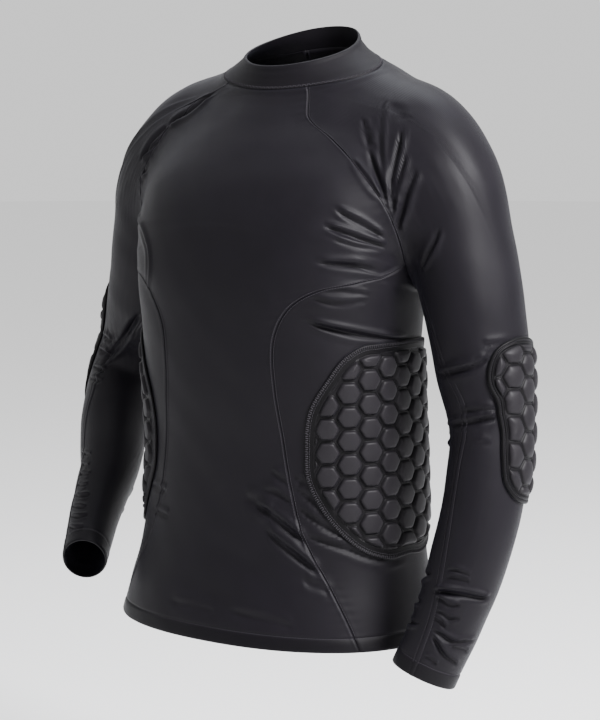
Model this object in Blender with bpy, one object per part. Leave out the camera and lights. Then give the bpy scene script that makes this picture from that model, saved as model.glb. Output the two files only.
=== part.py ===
"""Padded compression shirt, worn and hollow, as the panels and pads that a maker sews together.

Metres, +Z up, +X towards the wearer's left, -Y towards the front. The origin is the middle of the
neck at the height of the shoulders' top, where the wearer holds the shirt up.
"""

from math import cos, pi, radians, sin, tan

import bmesh
import bpy
import numpy as np

# Cloth
WALL = 0.0015
COLLAR_WALL = 0.0020
TURNED_WALL = 0.0024
SEAM_GAP = 0.0003

# Body sections: height, half width, depth to the front and to the back, middle, squareness
BODY = np.array([
    [-0.630, 0.192, 0.136, 0.126, -0.035, 2.2],
    [-0.590, 0.183, 0.129, 0.120, -0.032, 2.2],
    [-0.540, 0.172, 0.121, 0.113, -0.027, 2.2],
    [-0.480, 0.166, 0.117, 0.110, -0.024, 2.3],
    [-0.420, 0.164, 0.117, 0.108, -0.024, 2.3],
    [-0.360, 0.162, 0.119, 0.106, -0.027, 2.4],
    [-0.300, 0.164, 0.121, 0.106, -0.029, 2.4],
    [-0.240, 0.169, 0.124, 0.110, -0.027, 2.5],
    [-0.190, 0.173, 0.124, 0.114, -0.019, 2.5],
    [-0.140, 0.169, 0.118, 0.114, -0.005, 2.4],
    [-0.105, 0.156, 0.110, 0.106, 0.011, 2.2],
    [-0.075, 0.132, 0.098, 0.092, 0.022, 2.1],
    [-0.050, 0.103, 0.084, 0.078, 0.024, 2.0],
    [-0.025, 0.078, 0.072, 0.070, 0.018, 2.0],
    [0.005, 0.060, 0.058, 0.060, 0.014, 2.0],
    [0.050, 0.056, 0.054, 0.056, 0.014, 2.0],
])

# Middle line of each sleeve, from the shoulder to the cuff: across, front to back, height
ARM_LINE = {
    "left": np.array([
        [0.088, 0.032, -0.073],
        [0.150, 0.022, -0.103],
        [0.186, 0.012, -0.146],
        [0.211, 0.006, -0.205],
        [0.232, 0.000, -0.265],
        [0.249, -0.007, -0.330],
        [0.266, -0.018, -0.395],
        [0.272, -0.036, -0.460],
        [0.268, -0.055, -0.520],
        [0.255, -0.072, -0.583],
        [0.232, -0.087, -0.647],
    ]),
    "right": np.array([
        [-0.088, 0.032, -0.073],
        [-0.158, 0.022, -0.104],
        [-0.196, 0.015, -0.150],
        [-0.223, 0.026, -0.212],
        [-0.257, 0.047, -0.286],
        [-0.296, 0.068, -0.345],
        [-0.316, 0.065, -0.392],
        [-0.304, 0.032, -0.440],
        [-0.272, -0.015, -0.490],
        [-0.250, -0.065, -0.537],
        [-0.224, -0.112, -0.581],
    ]),
}

# Sleeve sections: distance along the line, side radius, front radius, turn in degrees
ARM_SECTION = np.array([
    [0.000, 0.050, 0.058, 0],
    [0.060, 0.058, 0.062, 0],
    [0.120, 0.061, 0.063, 0],
    [0.180, 0.057, 0.059, 0],
    [0.260, 0.053, 0.055, 0],
    [0.330, 0.049, 0.050, 0],
    [0.390, 0.042, 0.042, 0],
    [0.440, 0.042, 0.042, 0],
    [0.520, 0.041, 0.038, -15],
    [0.600, 0.036, 0.031, -30],
    [0.700, 0.035, 0.025, -35],
])
ARM_POINTS = 48
SIGN = {"left": 1.0, "right": -1.0}

# How softly the sleeves run into the body: above and below the armpit
JOIN_SOFT = 0.055
JOIN_TIGHT = 0.006
JOIN_BOTTOM = -0.27
JOIN_RISE = 0.10

# Collar: its seam and its top edge lie in planes that tilt forward
NECK_Y = 0.010
NECK_TILT = tan(radians(19))
SEAM_MID = -0.022
TOP_MID = 0.002

# Raglan seams and the armhole's underside: height, distance from the middle
RAGLAN = {
    ("left", "front"): np.array([
        [-0.262, 0.167],
        [-0.254, 0.169],
        [-0.247, 0.1715],
        [-0.234, 0.1745],
        [-0.220, 0.1775],
        [-0.199, 0.1785],
        [-0.161, 0.167],
        [-0.138, 0.150],
        [-0.119, 0.130],
        [-0.094, 0.096],
        [-0.075, 0.065],
        [-0.056, 0.055],
        [-0.038, 0.048],
        [0.010, 0.040],
    ]),
    ("left", "back"): np.array([
        [-0.262, 0.170],
        [-0.254, 0.169],
        [-0.250, 0.1665],
        [-0.2386, 0.163],
        [-0.2266, 0.160],
        [-0.215, 0.158],
        [-0.190, 0.157],
        [-0.165, 0.154],
        [-0.138, 0.143],
        [-0.119, 0.127],
        [-0.094, 0.096],
        [-0.075, 0.070],
        [-0.056, 0.056],
        [-0.038, 0.049],
        [0.010, 0.040],
    ]),
    ("right", "front"): np.array([
        [-0.250, 0.169],
        [-0.2365, 0.1705],
        [-0.2337, 0.1735],
        [-0.2261, 0.1765],
        [-0.2171, 0.1795],
        [-0.2071, 0.182],
        [-0.195, 0.183],
        [-0.175, 0.1825],
        [-0.149, 0.181],
        [-0.120, 0.170],
        [-0.104, 0.160],
        [-0.089, 0.150],
        [-0.071, 0.129],
        [-0.054, 0.107],
        [-0.043, 0.080],
        [-0.033, 0.051],
        [0.010, 0.038],
    ]),
    ("right", "back"): np.array([
        [-0.250, 0.172],
        [-0.2365, 0.1700],
        [-0.2327, 0.165],
        [-0.2247, 0.1615],
        [-0.2145, 0.1585],
        [-0.204, 0.157],
        [-0.185, 0.156],
        [-0.165, 0.154],
        [-0.138, 0.145],
        [-0.119, 0.129],
        [-0.094, 0.100],
        [-0.075, 0.074],
        [-0.056, 0.058],
        [-0.038, 0.048],
        [0.010, 0.038],
    ]),
}
ARMHOLE_LOWEST = {"left": 171, "right": 178}
ARMHOLE_Y = 0.010
ARMHOLE_Z = -0.150
ARMPIT_TURN = 145

# Side panel: row, front angle and height, chest height, side height, back angle and height, spine height
SIDE_PANEL = np.array([
    [0, 66.0, -0.630, -0.630, -0.630, 114, -0.630, -0.630],
    [1, 62.0, -0.598, -0.598, -0.598, 119, -0.598, -0.598],
    [2, 56.0, -0.562, -0.562, -0.562, 125, -0.562, -0.562],
    [3, 46.0, -0.512, -0.515, -0.515, 132, -0.512, -0.515],
    [4, 40.5, -0.462, -0.465, -0.468, 137, -0.462, -0.465],
    [5, 37.0, -0.408, -0.410, -0.420, 140, -0.408, -0.410],
    [6, 34.0, -0.352, -0.350, -0.378, 141, -0.352, -0.350],
    [7, 34.0, -0.305, -0.300, -0.343, 140, -0.305, -0.300],
    [8, 40.0, -0.271, -0.265, -0.314, 136, -0.269, -0.262],
    [9, 51.0, -0.251, -0.235, -0.292, 129, -0.245, -0.230],
    [10, 65.0, -0.243, -0.208, -0.272, 121, -0.229, -0.200],
    [11, 80.0, -0.236, -0.182, -0.252, 115, -0.217, -0.172],
])

# Grid
LOW_ROWS = np.r_[0, 0.5, np.linspace(1.15, 11, 15)]
TURNED_ROWS = 2
RAGLAN_STEPS = 8
FRONT_STEPS = 20
BACK_STEPS = 12
SIDE_STEPS = 10
NECK_STEPS = 5
SLEEVE_STEPS = 22
COLLAR_ROWS = 3

# Largest folds on the body: which face, across and height of both ends, half width, depth
BODY_FOLDS = [
    ("front", 0.122, -0.078, 0.168, -0.160, 0.013, 0.0045),
    ("front", 0.112, -0.168, 0.166, -0.205, 0.012, 0.0048),
    ("front", 0.104, -0.214, 0.166, -0.236, 0.012, 0.0044),
    ("front", 0.088, -0.284, 0.162, -0.304, 0.013, 0.0048),
    ("front", -0.075, -0.565, 0.085, -0.606, 0.017, 0.0045),
    ("front", -0.020, -0.520, 0.100, -0.575, 0.015, 0.0045),
    ("front", -0.150, -0.205, -0.095, -0.232, 0.013, 0.0040),
    ("front", -0.150, -0.250, -0.085, -0.262, 0.013, 0.0040),
    ("back", 0.160, -0.190, 0.085, -0.222, 0.014, 0.0045),
    ("back", 0.158, -0.232, 0.080, -0.250, 0.014, 0.0042),
    ("back", -0.160, -0.200, -0.090, -0.230, 0.014, 0.0045),
    ("back", 0.060, -0.480, -0.080, -0.505, 0.020, 0.0048),
    ("back", -0.060, -0.545, 0.080, -0.572, 0.020, 0.0045),
]

# Largest folds on the sleeves: side, distance along and angle round of both ends, half width, depth
SLEEVE_FOLDS = [
    ("left", 0.324, 118, 0.306, 62, 0.013, 0.0046),
    ("left", 0.372, 104, 0.380, 60, 0.013, 0.0042),
    ("left", 0.555, 130, 0.556, 35, 0.013, 0.0044),
    ("left", 0.598, 130, 0.602, 60, 0.012, 0.0036),
    ("left", 0.480, 250, 0.500, 190, 0.014, 0.0036),
    ("right", 0.286, 150, 0.345, 75, 0.014, 0.0046),
    ("right", 0.370, 165, 0.385, 95, 0.014, 0.0046),
    ("right", 0.440, 170, 0.425, 100, 0.014, 0.0042),
    ("right", 0.560, 20, 0.566, 100, 0.012, 0.0036),
    ("right", 0.610, 20, 0.616, 110, 0.012, 0.0036),
]

# Hexagonal cells
CELL_PITCH = 0.0255
CELL_COLUMN = CELL_PITCH * sin(radians(60))
CELL_SIDE = CELL_PITCH / (2 * sin(radians(60)))
CELL_SHRINK = 0.78
CELL_LEAST = 0.40
FOAM_BASE = 0.0016
FOAM_EDGE = 0.0040
FOAM_CROWN = 0.0009
EDGE_STEP = 0.010
EDGE_CLEAR = 0.0020

# Rib pad: angle and height of its middle, reach per radian, border, lift off the panel and at the edge
RIB = {
    "turn": 88.0,
    "height": -0.422,
    "reach": 0.155,
    "border": 0.0095,
    "ridge": 0.0,
    "lift": 0.0007,
    "edge_lift": 0.0005,
}
# Rib pad's outline: angle from the front, in degrees, and radius
RIB_OUTLINE = np.array([
    [-180, 0.112],
    [-165, 0.114],
    [-150, 0.113],
    [-130, 0.115],
    [-115, 0.119],
    [-102, 0.119],
    [-90, 0.115],
    [-78, 0.119],
    [-65, 0.119],
    [-50, 0.115],
    [-30, 0.113],
    [-15, 0.114],
    [0, 0.112],
    [23, 0.116],
    [42, 0.118],
    [56, 0.124],
    [65, 0.124],
    [74, 0.119],
    [90, 0.115],
    [106, 0.119],
    [115, 0.124],
    [124, 0.124],
    [138, 0.118],
    [157, 0.116],
    [180, 0.112],
])

# Elbow pad: angle round the sleeve and distance along it of its middle, rim, lift off the sleeve
ELBOW = {
    "turn": -8.0,
    "along": 0.382,
    "border": 0.0070,
    "ridge": 0.0016,
    "lift": 0.0022,
    "edge_lift": 0.0006,
}
# Elbow pad's outline: angle from the front, in degrees, and radius
ELBOW_OUTLINE = np.array([
    [-180, 0.0370],
    [-170, 0.0375],
    [-144, 0.0430],
    [-126, 0.0570],
    [-113, 0.0730],
    [-104, 0.0790],
    [-90, 0.0800],
    [-76, 0.0790],
    [-67, 0.0730],
    [-54, 0.0570],
    [-36, 0.0430],
    [-10, 0.0375],
    [0, 0.0385],
    [21, 0.0450],
    [36, 0.0620],
    [46, 0.0710],
    [59, 0.0800],
    [75, 0.0815],
    [90, 0.0810],
    [105, 0.0815],
    [121, 0.0800],
    [134, 0.0710],
    [144, 0.0620],
    [159, 0.0450],
    [180, 0.0370],
])

# Colours
CHARCOAL = (0.030, 0.029, 0.034)
CHARCOAL_SIDE = (0.026, 0.025, 0.030)
FOAM_BLACK = (0.034, 0.033, 0.038)


def smooth(table, at):
    """Smooth curves through a table's rows, read at places in its first column."""
    keys = table[:, 0]
    values = table[:, 1:]
    at = np.clip(at, keys[0], keys[-1])
    low = np.clip(np.searchsorted(keys, at) - 1, 0, len(keys) - 2)
    slopes = np.gradient(values, keys, axis=0)
    span = (keys[low + 1] - keys[low])[..., None]
    t = (at - keys[low])[..., None] / span
    return (
        (2 * t**3 - 3 * t**2 + 1) * values[low]
        + (t**3 - 2 * t**2 + t) * span * slopes[low]
        + (3 * t**2 - 2 * t**3) * values[low + 1]
        + (t**3 - t**2) * span * slopes[low + 1]
    )


def unit(vectors):
    """Vectors of length one."""
    return vectors / np.linalg.norm(vectors, axis=-1, keepdims=True)


def body_field(points):
    """Distance outside the body's tube, measured from its middle line."""
    half, front, back, middle, power = np.moveaxis(smooth(BODY, points[..., 2]), -1, 0)
    x = points[..., 0]
    y = points[..., 1] - middle
    depth = np.where(y < 0, front, back)
    reach = np.hypot(x, y) + 1e-9
    scale = (np.abs(x / half) ** power + np.abs(y / depth) ** power) ** (1 / power) + 1e-9
    return reach * (1 - 1 / scale)


class Sleeve:
    """One sleeve's middle line with the axes and radii of its sections."""

    def __init__(self, side):
        rows = ARM_LINE[side]
        legs = np.linalg.norm(np.diff(rows, axis=0), axis=1)
        table = np.column_stack([np.r_[0, np.cumsum(legs)], rows])
        fine = smooth(table, np.linspace(0, table[-1, 0], 400))
        run = np.r_[0, np.cumsum(np.linalg.norm(np.diff(fine, axis=0), axis=1))]
        self.length = run[-1]
        self.run = np.linspace(0, run[-1], ARM_POINTS)
        self.middle = np.stack([np.interp(self.run, run, fine[:, k]) for k in range(3)], -1)
        self.ahead = unit(np.gradient(self.middle, axis=0))
        front = np.array([0.0, -1.0, 0.0])
        toward = unit(front - (self.ahead @ front)[:, None] * self.ahead)
        out = SIGN[side] * np.cross(toward, self.ahead)
        if out[ARM_POINTS // 2, 0] * SIGN[side] < 0:
            out = -out
        section = smooth(ARM_SECTION, self.run)
        turn = np.radians(section[:, 2])[:, None]
        self.out = np.cos(turn) * out + np.sin(turn) * toward
        self.front = np.cos(turn) * toward - np.sin(turn) * out
        self.side_radius = section[:, 0]
        self.front_radius = section[:, 1]

    def field(self, points):
        """Distance outside this sleeve's tube, measured from its middle line."""
        flat = points.reshape(-1, 3)
        best = np.full(len(flat), 1e9)
        leg = np.zeros(len(flat), int)
        share = np.zeros(len(flat))
        for i in range(ARM_POINTS - 1):
            step = self.middle[i + 1] - self.middle[i]
            part = np.clip((flat - self.middle[i]) @ step / (step @ step), 0, 1)
            far = np.linalg.norm(flat - self.middle[i] - part[:, None] * step, axis=1)
            near = far < best
            best[near] = far[near]
            leg[near] = i
            share[near] = part[near]
        middle, _, out, front, side_radius, front_radius = self.mixed(leg, share)
        away = flat - middle
        u = (away * out).sum(1)
        v = (away * front).sum(1)
        reach = np.linalg.norm(away, axis=1) + 1e-9
        rest = np.clip(reach**2 - u**2 - v**2, 0, None)
        squares = (u / side_radius) ** 2 + (v / front_radius) ** 2
        scale = np.sqrt(squares + rest / (side_radius * front_radius)) + 1e-9
        return (reach * (1 - 1 / scale)).reshape(points.shape[:-1])

    def mixed(self, leg, share):
        """Middle, direction, axes and radii part of the way along the numbered legs."""
        parts = []
        for values in (self.middle, self.ahead, self.out, self.front, self.side_radius, self.front_radius):
            weight = share.reshape(share.shape + (1,) * (values.ndim - 1))
            parts.append(values[leg] * (1 - weight) + values[leg + 1] * weight)
        return parts

    def at(self, run):
        """Middle, direction, axes and radii at distances along the line, and straight on before it."""
        place = np.clip(run, 0, self.length) / self.length * (ARM_POINTS - 1)
        leg = np.clip(place.astype(int), 0, ARM_POINTS - 2)
        parts = self.mixed(leg, place - leg)
        parts[0] = parts[0] + np.minimum(run, 0)[..., None] * self.ahead[0]
        return parts

    def place_of(self, points):
        """Distance along the line and angle round it of points."""
        runs = np.linspace(-0.12, self.length, 900)
        middles = self.at(runs)[0]
        near = np.linalg.norm(points[..., None, :] - middles, axis=-1).argmin(-1)
        middle, _, out, front, _, _ = self.at(runs[near])
        away = points - middle
        return runs[near], np.arctan2((away * front).sum(-1), (away * out).sum(-1))

    def ray(self, run, turn):
        """Start, way and length of the spoke from the middle line to the sleeve's own tube."""
        middle, _, out, front, side_radius, front_radius = self.at(run)
        way = np.cos(turn)[..., None] * out + np.sin(turn)[..., None] * front
        reach = 1 / np.sqrt((np.cos(turn) / side_radius) ** 2 + (np.sin(turn) / front_radius) ** 2)
        return middle, way, reach


SLEEVES = {side: Sleeve(side) for side in ARM_LINE}


def sleeves_field(points):
    """Distance outside the sleeve on each point's own side."""
    values = np.empty(points.shape[:-1])
    left = points[..., 0] >= 0
    values[left] = SLEEVES["left"].field(points[left])
    values[~left] = SLEEVES["right"].field(points[~left])
    return values


def form(points):
    """Body and sleeves run softly into one: negative inside."""
    body = body_field(points)
    arms = sleeves_field(points)
    rise = np.clip((points[..., 2] - JOIN_BOTTOM) / JOIN_RISE, 0, 1)
    width = JOIN_TIGHT + (JOIN_SOFT - JOIN_TIGHT) * rise * rise * (3 - 2 * rise)
    share = np.clip(0.5 + 0.5 * (arms - body) / width, 0, 1)
    return arms * (1 - share) + body * share - width * share * (1 - share)


def facing(points, field=form, step=0.0005):
    """Unit vectors out of a form."""
    slope = [field(points + step * axis) - field(points - step * axis) for axis in np.eye(3)]
    return unit(np.stack(slope, -1))


def leave(start, way, field, first):
    """Distance at which rays from inside a form come out of it."""
    inside = first + np.zeros(way.shape[:-1])
    outside = np.full(way.shape[:-1], np.inf)
    reach = inside.copy()
    for _ in range(32):
        value = field(start + reach[..., None] * way)
        within = value < 0
        inside = np.where(within, np.maximum(inside, reach), inside)
        outside = np.where(within, outside, np.minimum(outside, reach))
        forward = reach + np.maximum(-0.9 * value, 0.0004)
        reach = np.where(np.isfinite(outside), (inside + np.minimum(outside, 9)) / 2, forward)
    return np.where(np.isfinite(outside), (inside + np.minimum(outside, 9)) / 2, inside)


def body_points(turn, height, field):
    """Points on a form, by the angle from the front and the height."""
    turn, height = np.broadcast_arrays(turn, height)
    zero = np.zeros(turn.shape)
    start = np.stack([zero, smooth(BODY, height)[..., 3], height], -1)
    way = np.stack([np.sin(turn), -np.cos(turn), zero], -1)
    return start + leave(start, way, field, 0.03)[..., None] * way


def turn_of(points):
    """Angle from the front of points on the body."""
    middle = smooth(BODY, points[..., 2])[..., 3]
    return np.arctan2(points[..., 0], middle - points[..., 1])


def neck_points(turn, mid):
    """Points of the neck in the tilted plane at the given middle height."""
    start = np.array([0.0, NECK_Y, mid]) + np.zeros(turn.shape + (3,))
    way = unit(np.stack([np.sin(turn), -np.cos(turn), -np.cos(turn) * NECK_TILT], -1))
    return start + leave(start, way, form, 0.02)[..., None] * way


def sleeve_points(side, run, turn):
    """Points on the shirt, by the distance along a sleeve and the angle round it."""
    start, way, own = SLEEVES[side].ray(run, turn)
    full = leave(start, way, form, 0.3 * own)
    most = np.where(run > 0.16, 0.020, 0.300)
    reach = np.where(full - own > most, own, full)
    return start + reach[..., None] * way


def spread(line, steps):
    """Points at even distances along a line."""
    run = np.r_[0, np.cumsum(np.linalg.norm(np.diff(line, axis=0), axis=1))]
    even = np.linspace(0, run[-1], steps + 1)
    return np.stack([np.interp(even, run, line[:, k]) for k in range(3)], -1)


def armhole_points(side, turn):
    """Points where the raglan surface meets the shirt, by the angle from straight up."""
    steps = np.linspace(0.01, 0.26, 126)
    low = radians(ARMHOLE_LOWEST[side])
    in_front = (turn > 0) & (turn <= low)

    def path(reach):
        height = ARMHOLE_Z + reach * np.cos(turn)
        front = smooth(RAGLAN[side, "front"], height)[..., 0]
        across = SIGN[side] * np.where(in_front, front, smooth(RAGLAN[side, "back"], height)[..., 0])
        return np.stack([across, ARMHOLE_Y - reach * np.sin(turn), height], -1)

    inside = np.full(turn.shape, steps[0])
    found = np.zeros(turn.shape, bool)
    for reach in steps:
        within = form(path(np.full(turn.shape, reach))) < 0
        inside = np.where(within & ~found, reach, inside)
        found = found | ~within
    outside = inside + 0.002
    for _ in range(20):
        reach = (inside + outside) / 2
        within = form(path(reach)) < 0
        inside = np.where(within, reach, inside)
        outside = np.where(within, outside, reach)
    return path(inside)


def neck_corner(side, face, near, far):
    """Angle at which the collar seam meets the raglan seam."""
    turns = np.radians(np.linspace(near, far, 120))
    points = neck_points(SIGN[side] * turns, SEAM_MID)
    off = np.abs(points[:, 0]) - smooth(RAGLAN[side, face], points[:, 2])[:, 0]
    k = int(np.argmax(off > 0))
    share = off[k - 1] / (off[k - 1] - off[k])
    return turns[k - 1] + share * (turns[k] - turns[k - 1])


def seams(side):
    """The seam lines of one side, each sampled once for the two pieces that meet there."""
    sign = SIGN[side]
    turns = {
        "front": neck_corner(side, "front", 10, 90),
        "back": neck_corner(side, "back", 170, 90),
    }
    lines = {"neck_turns": turns}
    for face, toward in (("front", 1), ("back", -1)):
        corner = neck_points(np.array([sign * turns[face]]), SEAM_MID)[0]
        top = np.arctan2(toward * (ARMHOLE_Y - corner[1]), corner[2] - ARMHOLE_Z)
        fan = toward * np.linspace(radians(ARMPIT_TURN), top, 90)
        lines["raglan_" + face] = spread(armhole_points(side, fan), RAGLAN_STEPS)
        lines["raglan_" + face][-1] = corner
    under = np.radians(np.linspace(ARMPIT_TURN, 360 - ARMPIT_TURN, 60))
    lines["under"] = spread(armhole_points(side, under), SIDE_STEPS)
    lines["under"][0] = lines["raglan_front"][0]
    lines["under"][-1] = lines["raglan_back"][0]
    rows = smooth(SIDE_PANEL, LOW_ROWS)
    lines["side_front"] = body_points(sign * np.radians(rows[:, 0]), rows[:, 1], body_field)
    lines["side_front"][-1] = lines["raglan_front"][0]
    lines["side_back"] = body_points(sign * np.radians(rows[:, 4]), rows[:, 5], body_field)
    lines["side_back"][-1] = lines["raglan_back"][0]
    lines["side_middle"] = rows[:, 3]
    return lines


SEAMS = {side: seams(side) for side in SIGN}


def face_panel(face):
    """Outer points of the front or the back panel, rows from the hem to the collar."""
    steps = FRONT_STEPS if face == "front" else BACK_STEPS
    even = np.linspace(-1, 1, steps + 1)
    u = even * (1.15 - 0.15 * even**2)
    rows = smooth(SIDE_PANEL, LOW_ROWS)
    order = ("right", "left") if face == "front" else ("left", "right")
    edges = []
    for side in order:
        low = SEAMS[side]["side_" + face]
        edges.append(np.concatenate([low, SEAMS[side]["raglan_" + face][1:]]))
    turns = []
    for side, edge in zip(order, edges):
        turn = turn_of(edge)
        turns.append(np.where(turn < 0, turn + 2 * pi, turn) if face == "back" else turn)
    neck_turn = np.array([0.0 if face == "front" else pi])
    neck = neck_points(neck_turn, SEAM_MID)[0, 2]
    middle = rows[:, 2] if face == "front" else rows[:, 6]
    middle = np.r_[middle, np.linspace(middle[-1], neck, RAGLAN_STEPS + 1)[1:]]
    turn = turns[0][:, None] * (1 - u) / 2 + turns[1][:, None] * (1 + u) / 2
    height = np.where(u < 0, edges[0][:, 2:], edges[1][:, 2:])
    height = middle[:, None] + u**2 * (height - middle[:, None])
    points = body_points(turn, height, form)
    points[-1] = neck_points(turn_in_neck(points[-1], face), SEAM_MID)
    points[:, 0] = edges[0]
    points[:, -1] = edges[1]
    return points


def turn_in_neck(points, face):
    """Angle from the front round the neck's middle."""
    turn = np.arctan2(points[:, 0], NECK_Y - points[:, 1])
    return np.where(turn < 0, turn + 2 * pi, turn) if face == "back" else turn


def side_panel(side):
    """Outer points of a side panel, rows from the hem to the armhole, front edge first."""
    lines = SEAMS[side]
    w = np.linspace(-1, 1, SIDE_STEPS + 1)
    front = lines["side_front"]
    back = lines["side_back"]
    first = np.abs(turn_of(front))[:, None]
    last = np.abs(turn_of(back))[:, None]
    turn = SIGN[side] * (first * (1 - w) / 2 + last * (1 + w) / 2)
    edge = front[:, 2:] * (1 - w) / 2 + back[:, 2:] * (1 + w) / 2
    height = edge + (1 - w**2) * (lines["side_middle"][:, None] - edge)
    points = body_points(turn, height, body_field)
    points[:, 0] = front
    points[:, -1] = back
    points[-1] = lines["under"]
    return points


def neck_part(side):
    """The collar seam over one sleeve, from the front corner to the back one."""
    turns = SEAMS[side]["neck_turns"]
    fan = SIGN[side] * np.linspace(turns["front"], turns["back"], NECK_STEPS + 1)
    points = neck_points(fan, SEAM_MID)
    points[0] = SEAMS[side]["raglan_front"][-1]
    points[-1] = SEAMS[side]["raglan_back"][-1]
    return points


def sleeve_panel(side):
    """Outer points of a sleeve, loops from the armhole to the cuff, from the front armpit up and round."""
    lines = SEAMS[side]
    loop = np.concatenate([
        lines["raglan_front"][:-1],
        neck_part(side)[:-1],
        lines["raglan_back"][::-1][:-1],
        lines["under"][::-1][:-1],
    ])
    sleeve = SLEEVES[side]
    run, turn = sleeve.place_of(loop)
    turn = np.unwrap(turn)
    even = turn[0] - 2 * pi * np.arange(len(loop)) / len(loop)
    share = np.linspace(0, 1, SLEEVE_STEPS + 1)[:, None]
    settle = np.clip(share / 0.4, 0, 1)
    settle = settle * settle * (3 - 2 * settle)
    runs = run + share * (sleeve.length - run)
    points = sleeve_points(side, runs, turn + settle * (even - turn))
    points[0] = loop
    return points


def collar_panel():
    """Outer points of the collar, loops from its seam to its top, from the front's right corner."""
    front = face_panel("front")[-1]
    back = face_panel("back")[-1]
    left = neck_part("left")
    right = neck_part("right")
    loop = np.concatenate([front[:-1], left[:-1], back[:-1], right[::-1][:-1]])
    turns = np.unwrap(np.arctan2(loop[:, 0], NECK_Y - loop[:, 1]))
    mids = np.linspace(SEAM_MID, TOP_MID, COLLAR_ROWS)
    points = np.stack([neck_points(turns, mid) for mid in mids])
    points[0] = loop
    return points


def fold_list():
    """Middle, direction, sideways direction, way out, half length, half width and depth of each fold."""
    folds = []
    for face, x0, z0, x1, z1, width, depth in BODY_FOLDS:
        toward = -1.0 if face == "front" else 1.0
        start = np.array([[x0, 0.0, z0], [x1, 0.0, z1]])
        start[:, 1] = smooth(BODY, start[:, 2])[:, 3]
        way = np.array([[0.0, toward, 0.0]]) + np.zeros((2, 3))
        ends = start + leave(start, way, form, 0.01)[:, None] * way
        folds.append(fold_of(ends, width, depth))
    for side, run0, turn0, run1, turn1, width, depth in SLEEVE_FOLDS:
        ends = sleeve_points(side, np.array([run0, run1]), np.radians([turn0, turn1]))
        folds.append(fold_of(ends, width, depth))
    return folds


def fold_of(ends, width, depth):
    """One fold between two points of the shirt."""
    middle = ends.mean(0)
    along = ends[1] - ends[0]
    half = np.linalg.norm(along) / 2
    along = along / (2 * half)
    out = facing(middle[None])[0]
    out = unit(out - (out @ along) * along)
    return middle, along, np.cross(out, along), out, half, width, depth


FOLDS = fold_list()


def fold_depth(points):
    """How far the folds draw the cloth in: soft troughs that fade to their ends."""
    total = np.zeros(points.shape[:-1])
    for middle, along, across, out, half, width, depth in FOLDS:
        away = points - middle
        run = np.clip(np.abs(away @ along) / (half * 1.15), 0, 1)
        side = away @ across / width
        lift = away @ out
        near = np.clip(1.6 - np.abs(lift) / 0.030, 0, 1)
        total += depth * np.cos(run * pi / 2) ** 2 * np.exp(-(side**2)) * near
    return np.minimum(total, 0.0060)


def drawn_in(points, out, closed):
    """Outer points with each edge moved in by half the seam gap, along the cloth."""
    moved = points.copy()

    def step(line, following, way, loop):
        run = np.roll(line, -1, 0) - np.roll(line, 1, 0) if loop else np.gradient(line, axis=0)
        across = unit(np.cross(way, run))
        across *= np.sign((across * (following - line)).sum(-1, keepdims=True))
        return across * SEAM_GAP / 2

    moved[0] += step(points[0], points[1], out[0], closed)
    moved[-1] += step(points[-1], points[-2], out[-1], closed)
    if not closed:
        moved[:, 0] += step(points[:, 0], points[:, 1], out[:, 0], False)
        moved[:, -1] += step(points[:, -1], points[:, -2], out[:, -1], False)
    return moved


def cloth(points, out, wall, closed):
    """Corners and triangles of a wall: outer points, the same moved in, and the edges between them."""
    outer = drawn_in(points, out, closed)
    inner = outer - wall * out
    rows, columns = points.shape[:2]
    count = rows * columns
    corners = np.concatenate([outer.reshape(-1, 3), inner.reshape(-1, 3)])
    spans = columns if closed else columns - 1
    faces = []
    for j in range(rows - 1):
        for i in range(spans):
            a = j * columns + i
            b = j * columns + (i + 1) % columns
            c = b + columns
            d = a + columns
            straight = np.linalg.norm(corners[a] - corners[c])
            if straight <= np.linalg.norm(corners[b] - corners[d]):
                pair = [(a, b, c), (a, c, d)]
            else:
                pair = [(a, b, d), (b, c, d)]
            for face in pair:
                faces.append(face)
                faces.append(tuple(k + count for k in reversed(face)))
    rims = []
    for i in range(spans):
        rims.append((i, (i + 1) % columns))
        rims.append((count - columns + (i + 1) % columns, count - columns + i))
    if not closed:
        for j in range(rows - 1):
            rims.append(((j + 1) * columns, j * columns))
            rims.append((j * columns + columns - 1, (j + 2) * columns - 1))
    order = corners @ np.array([0.37, 0.21, 1.0])
    for a, b in rims:
        if order[a] > order[b]:
            faces.append((b, a, b + count))
            faces.append((a, a + count, b + count))
        else:
            faces.append((b, a, a + count))
            faces.append((b, a + count, b + count))
    return corners, faces


def outline_radius(outline, turn, border):
    """Radius of a pad's outline, or of the line inside it by the border's width."""
    degrees = np.degrees(turn)
    radius = smooth(outline, degrees)[..., 0]
    slope = (smooth(outline, degrees + 1)[..., 0] - smooth(outline, degrees - 1)[..., 0]) / radians(2)
    return radius - border * np.sqrt(1 + (slope / radius) ** 2)


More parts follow.
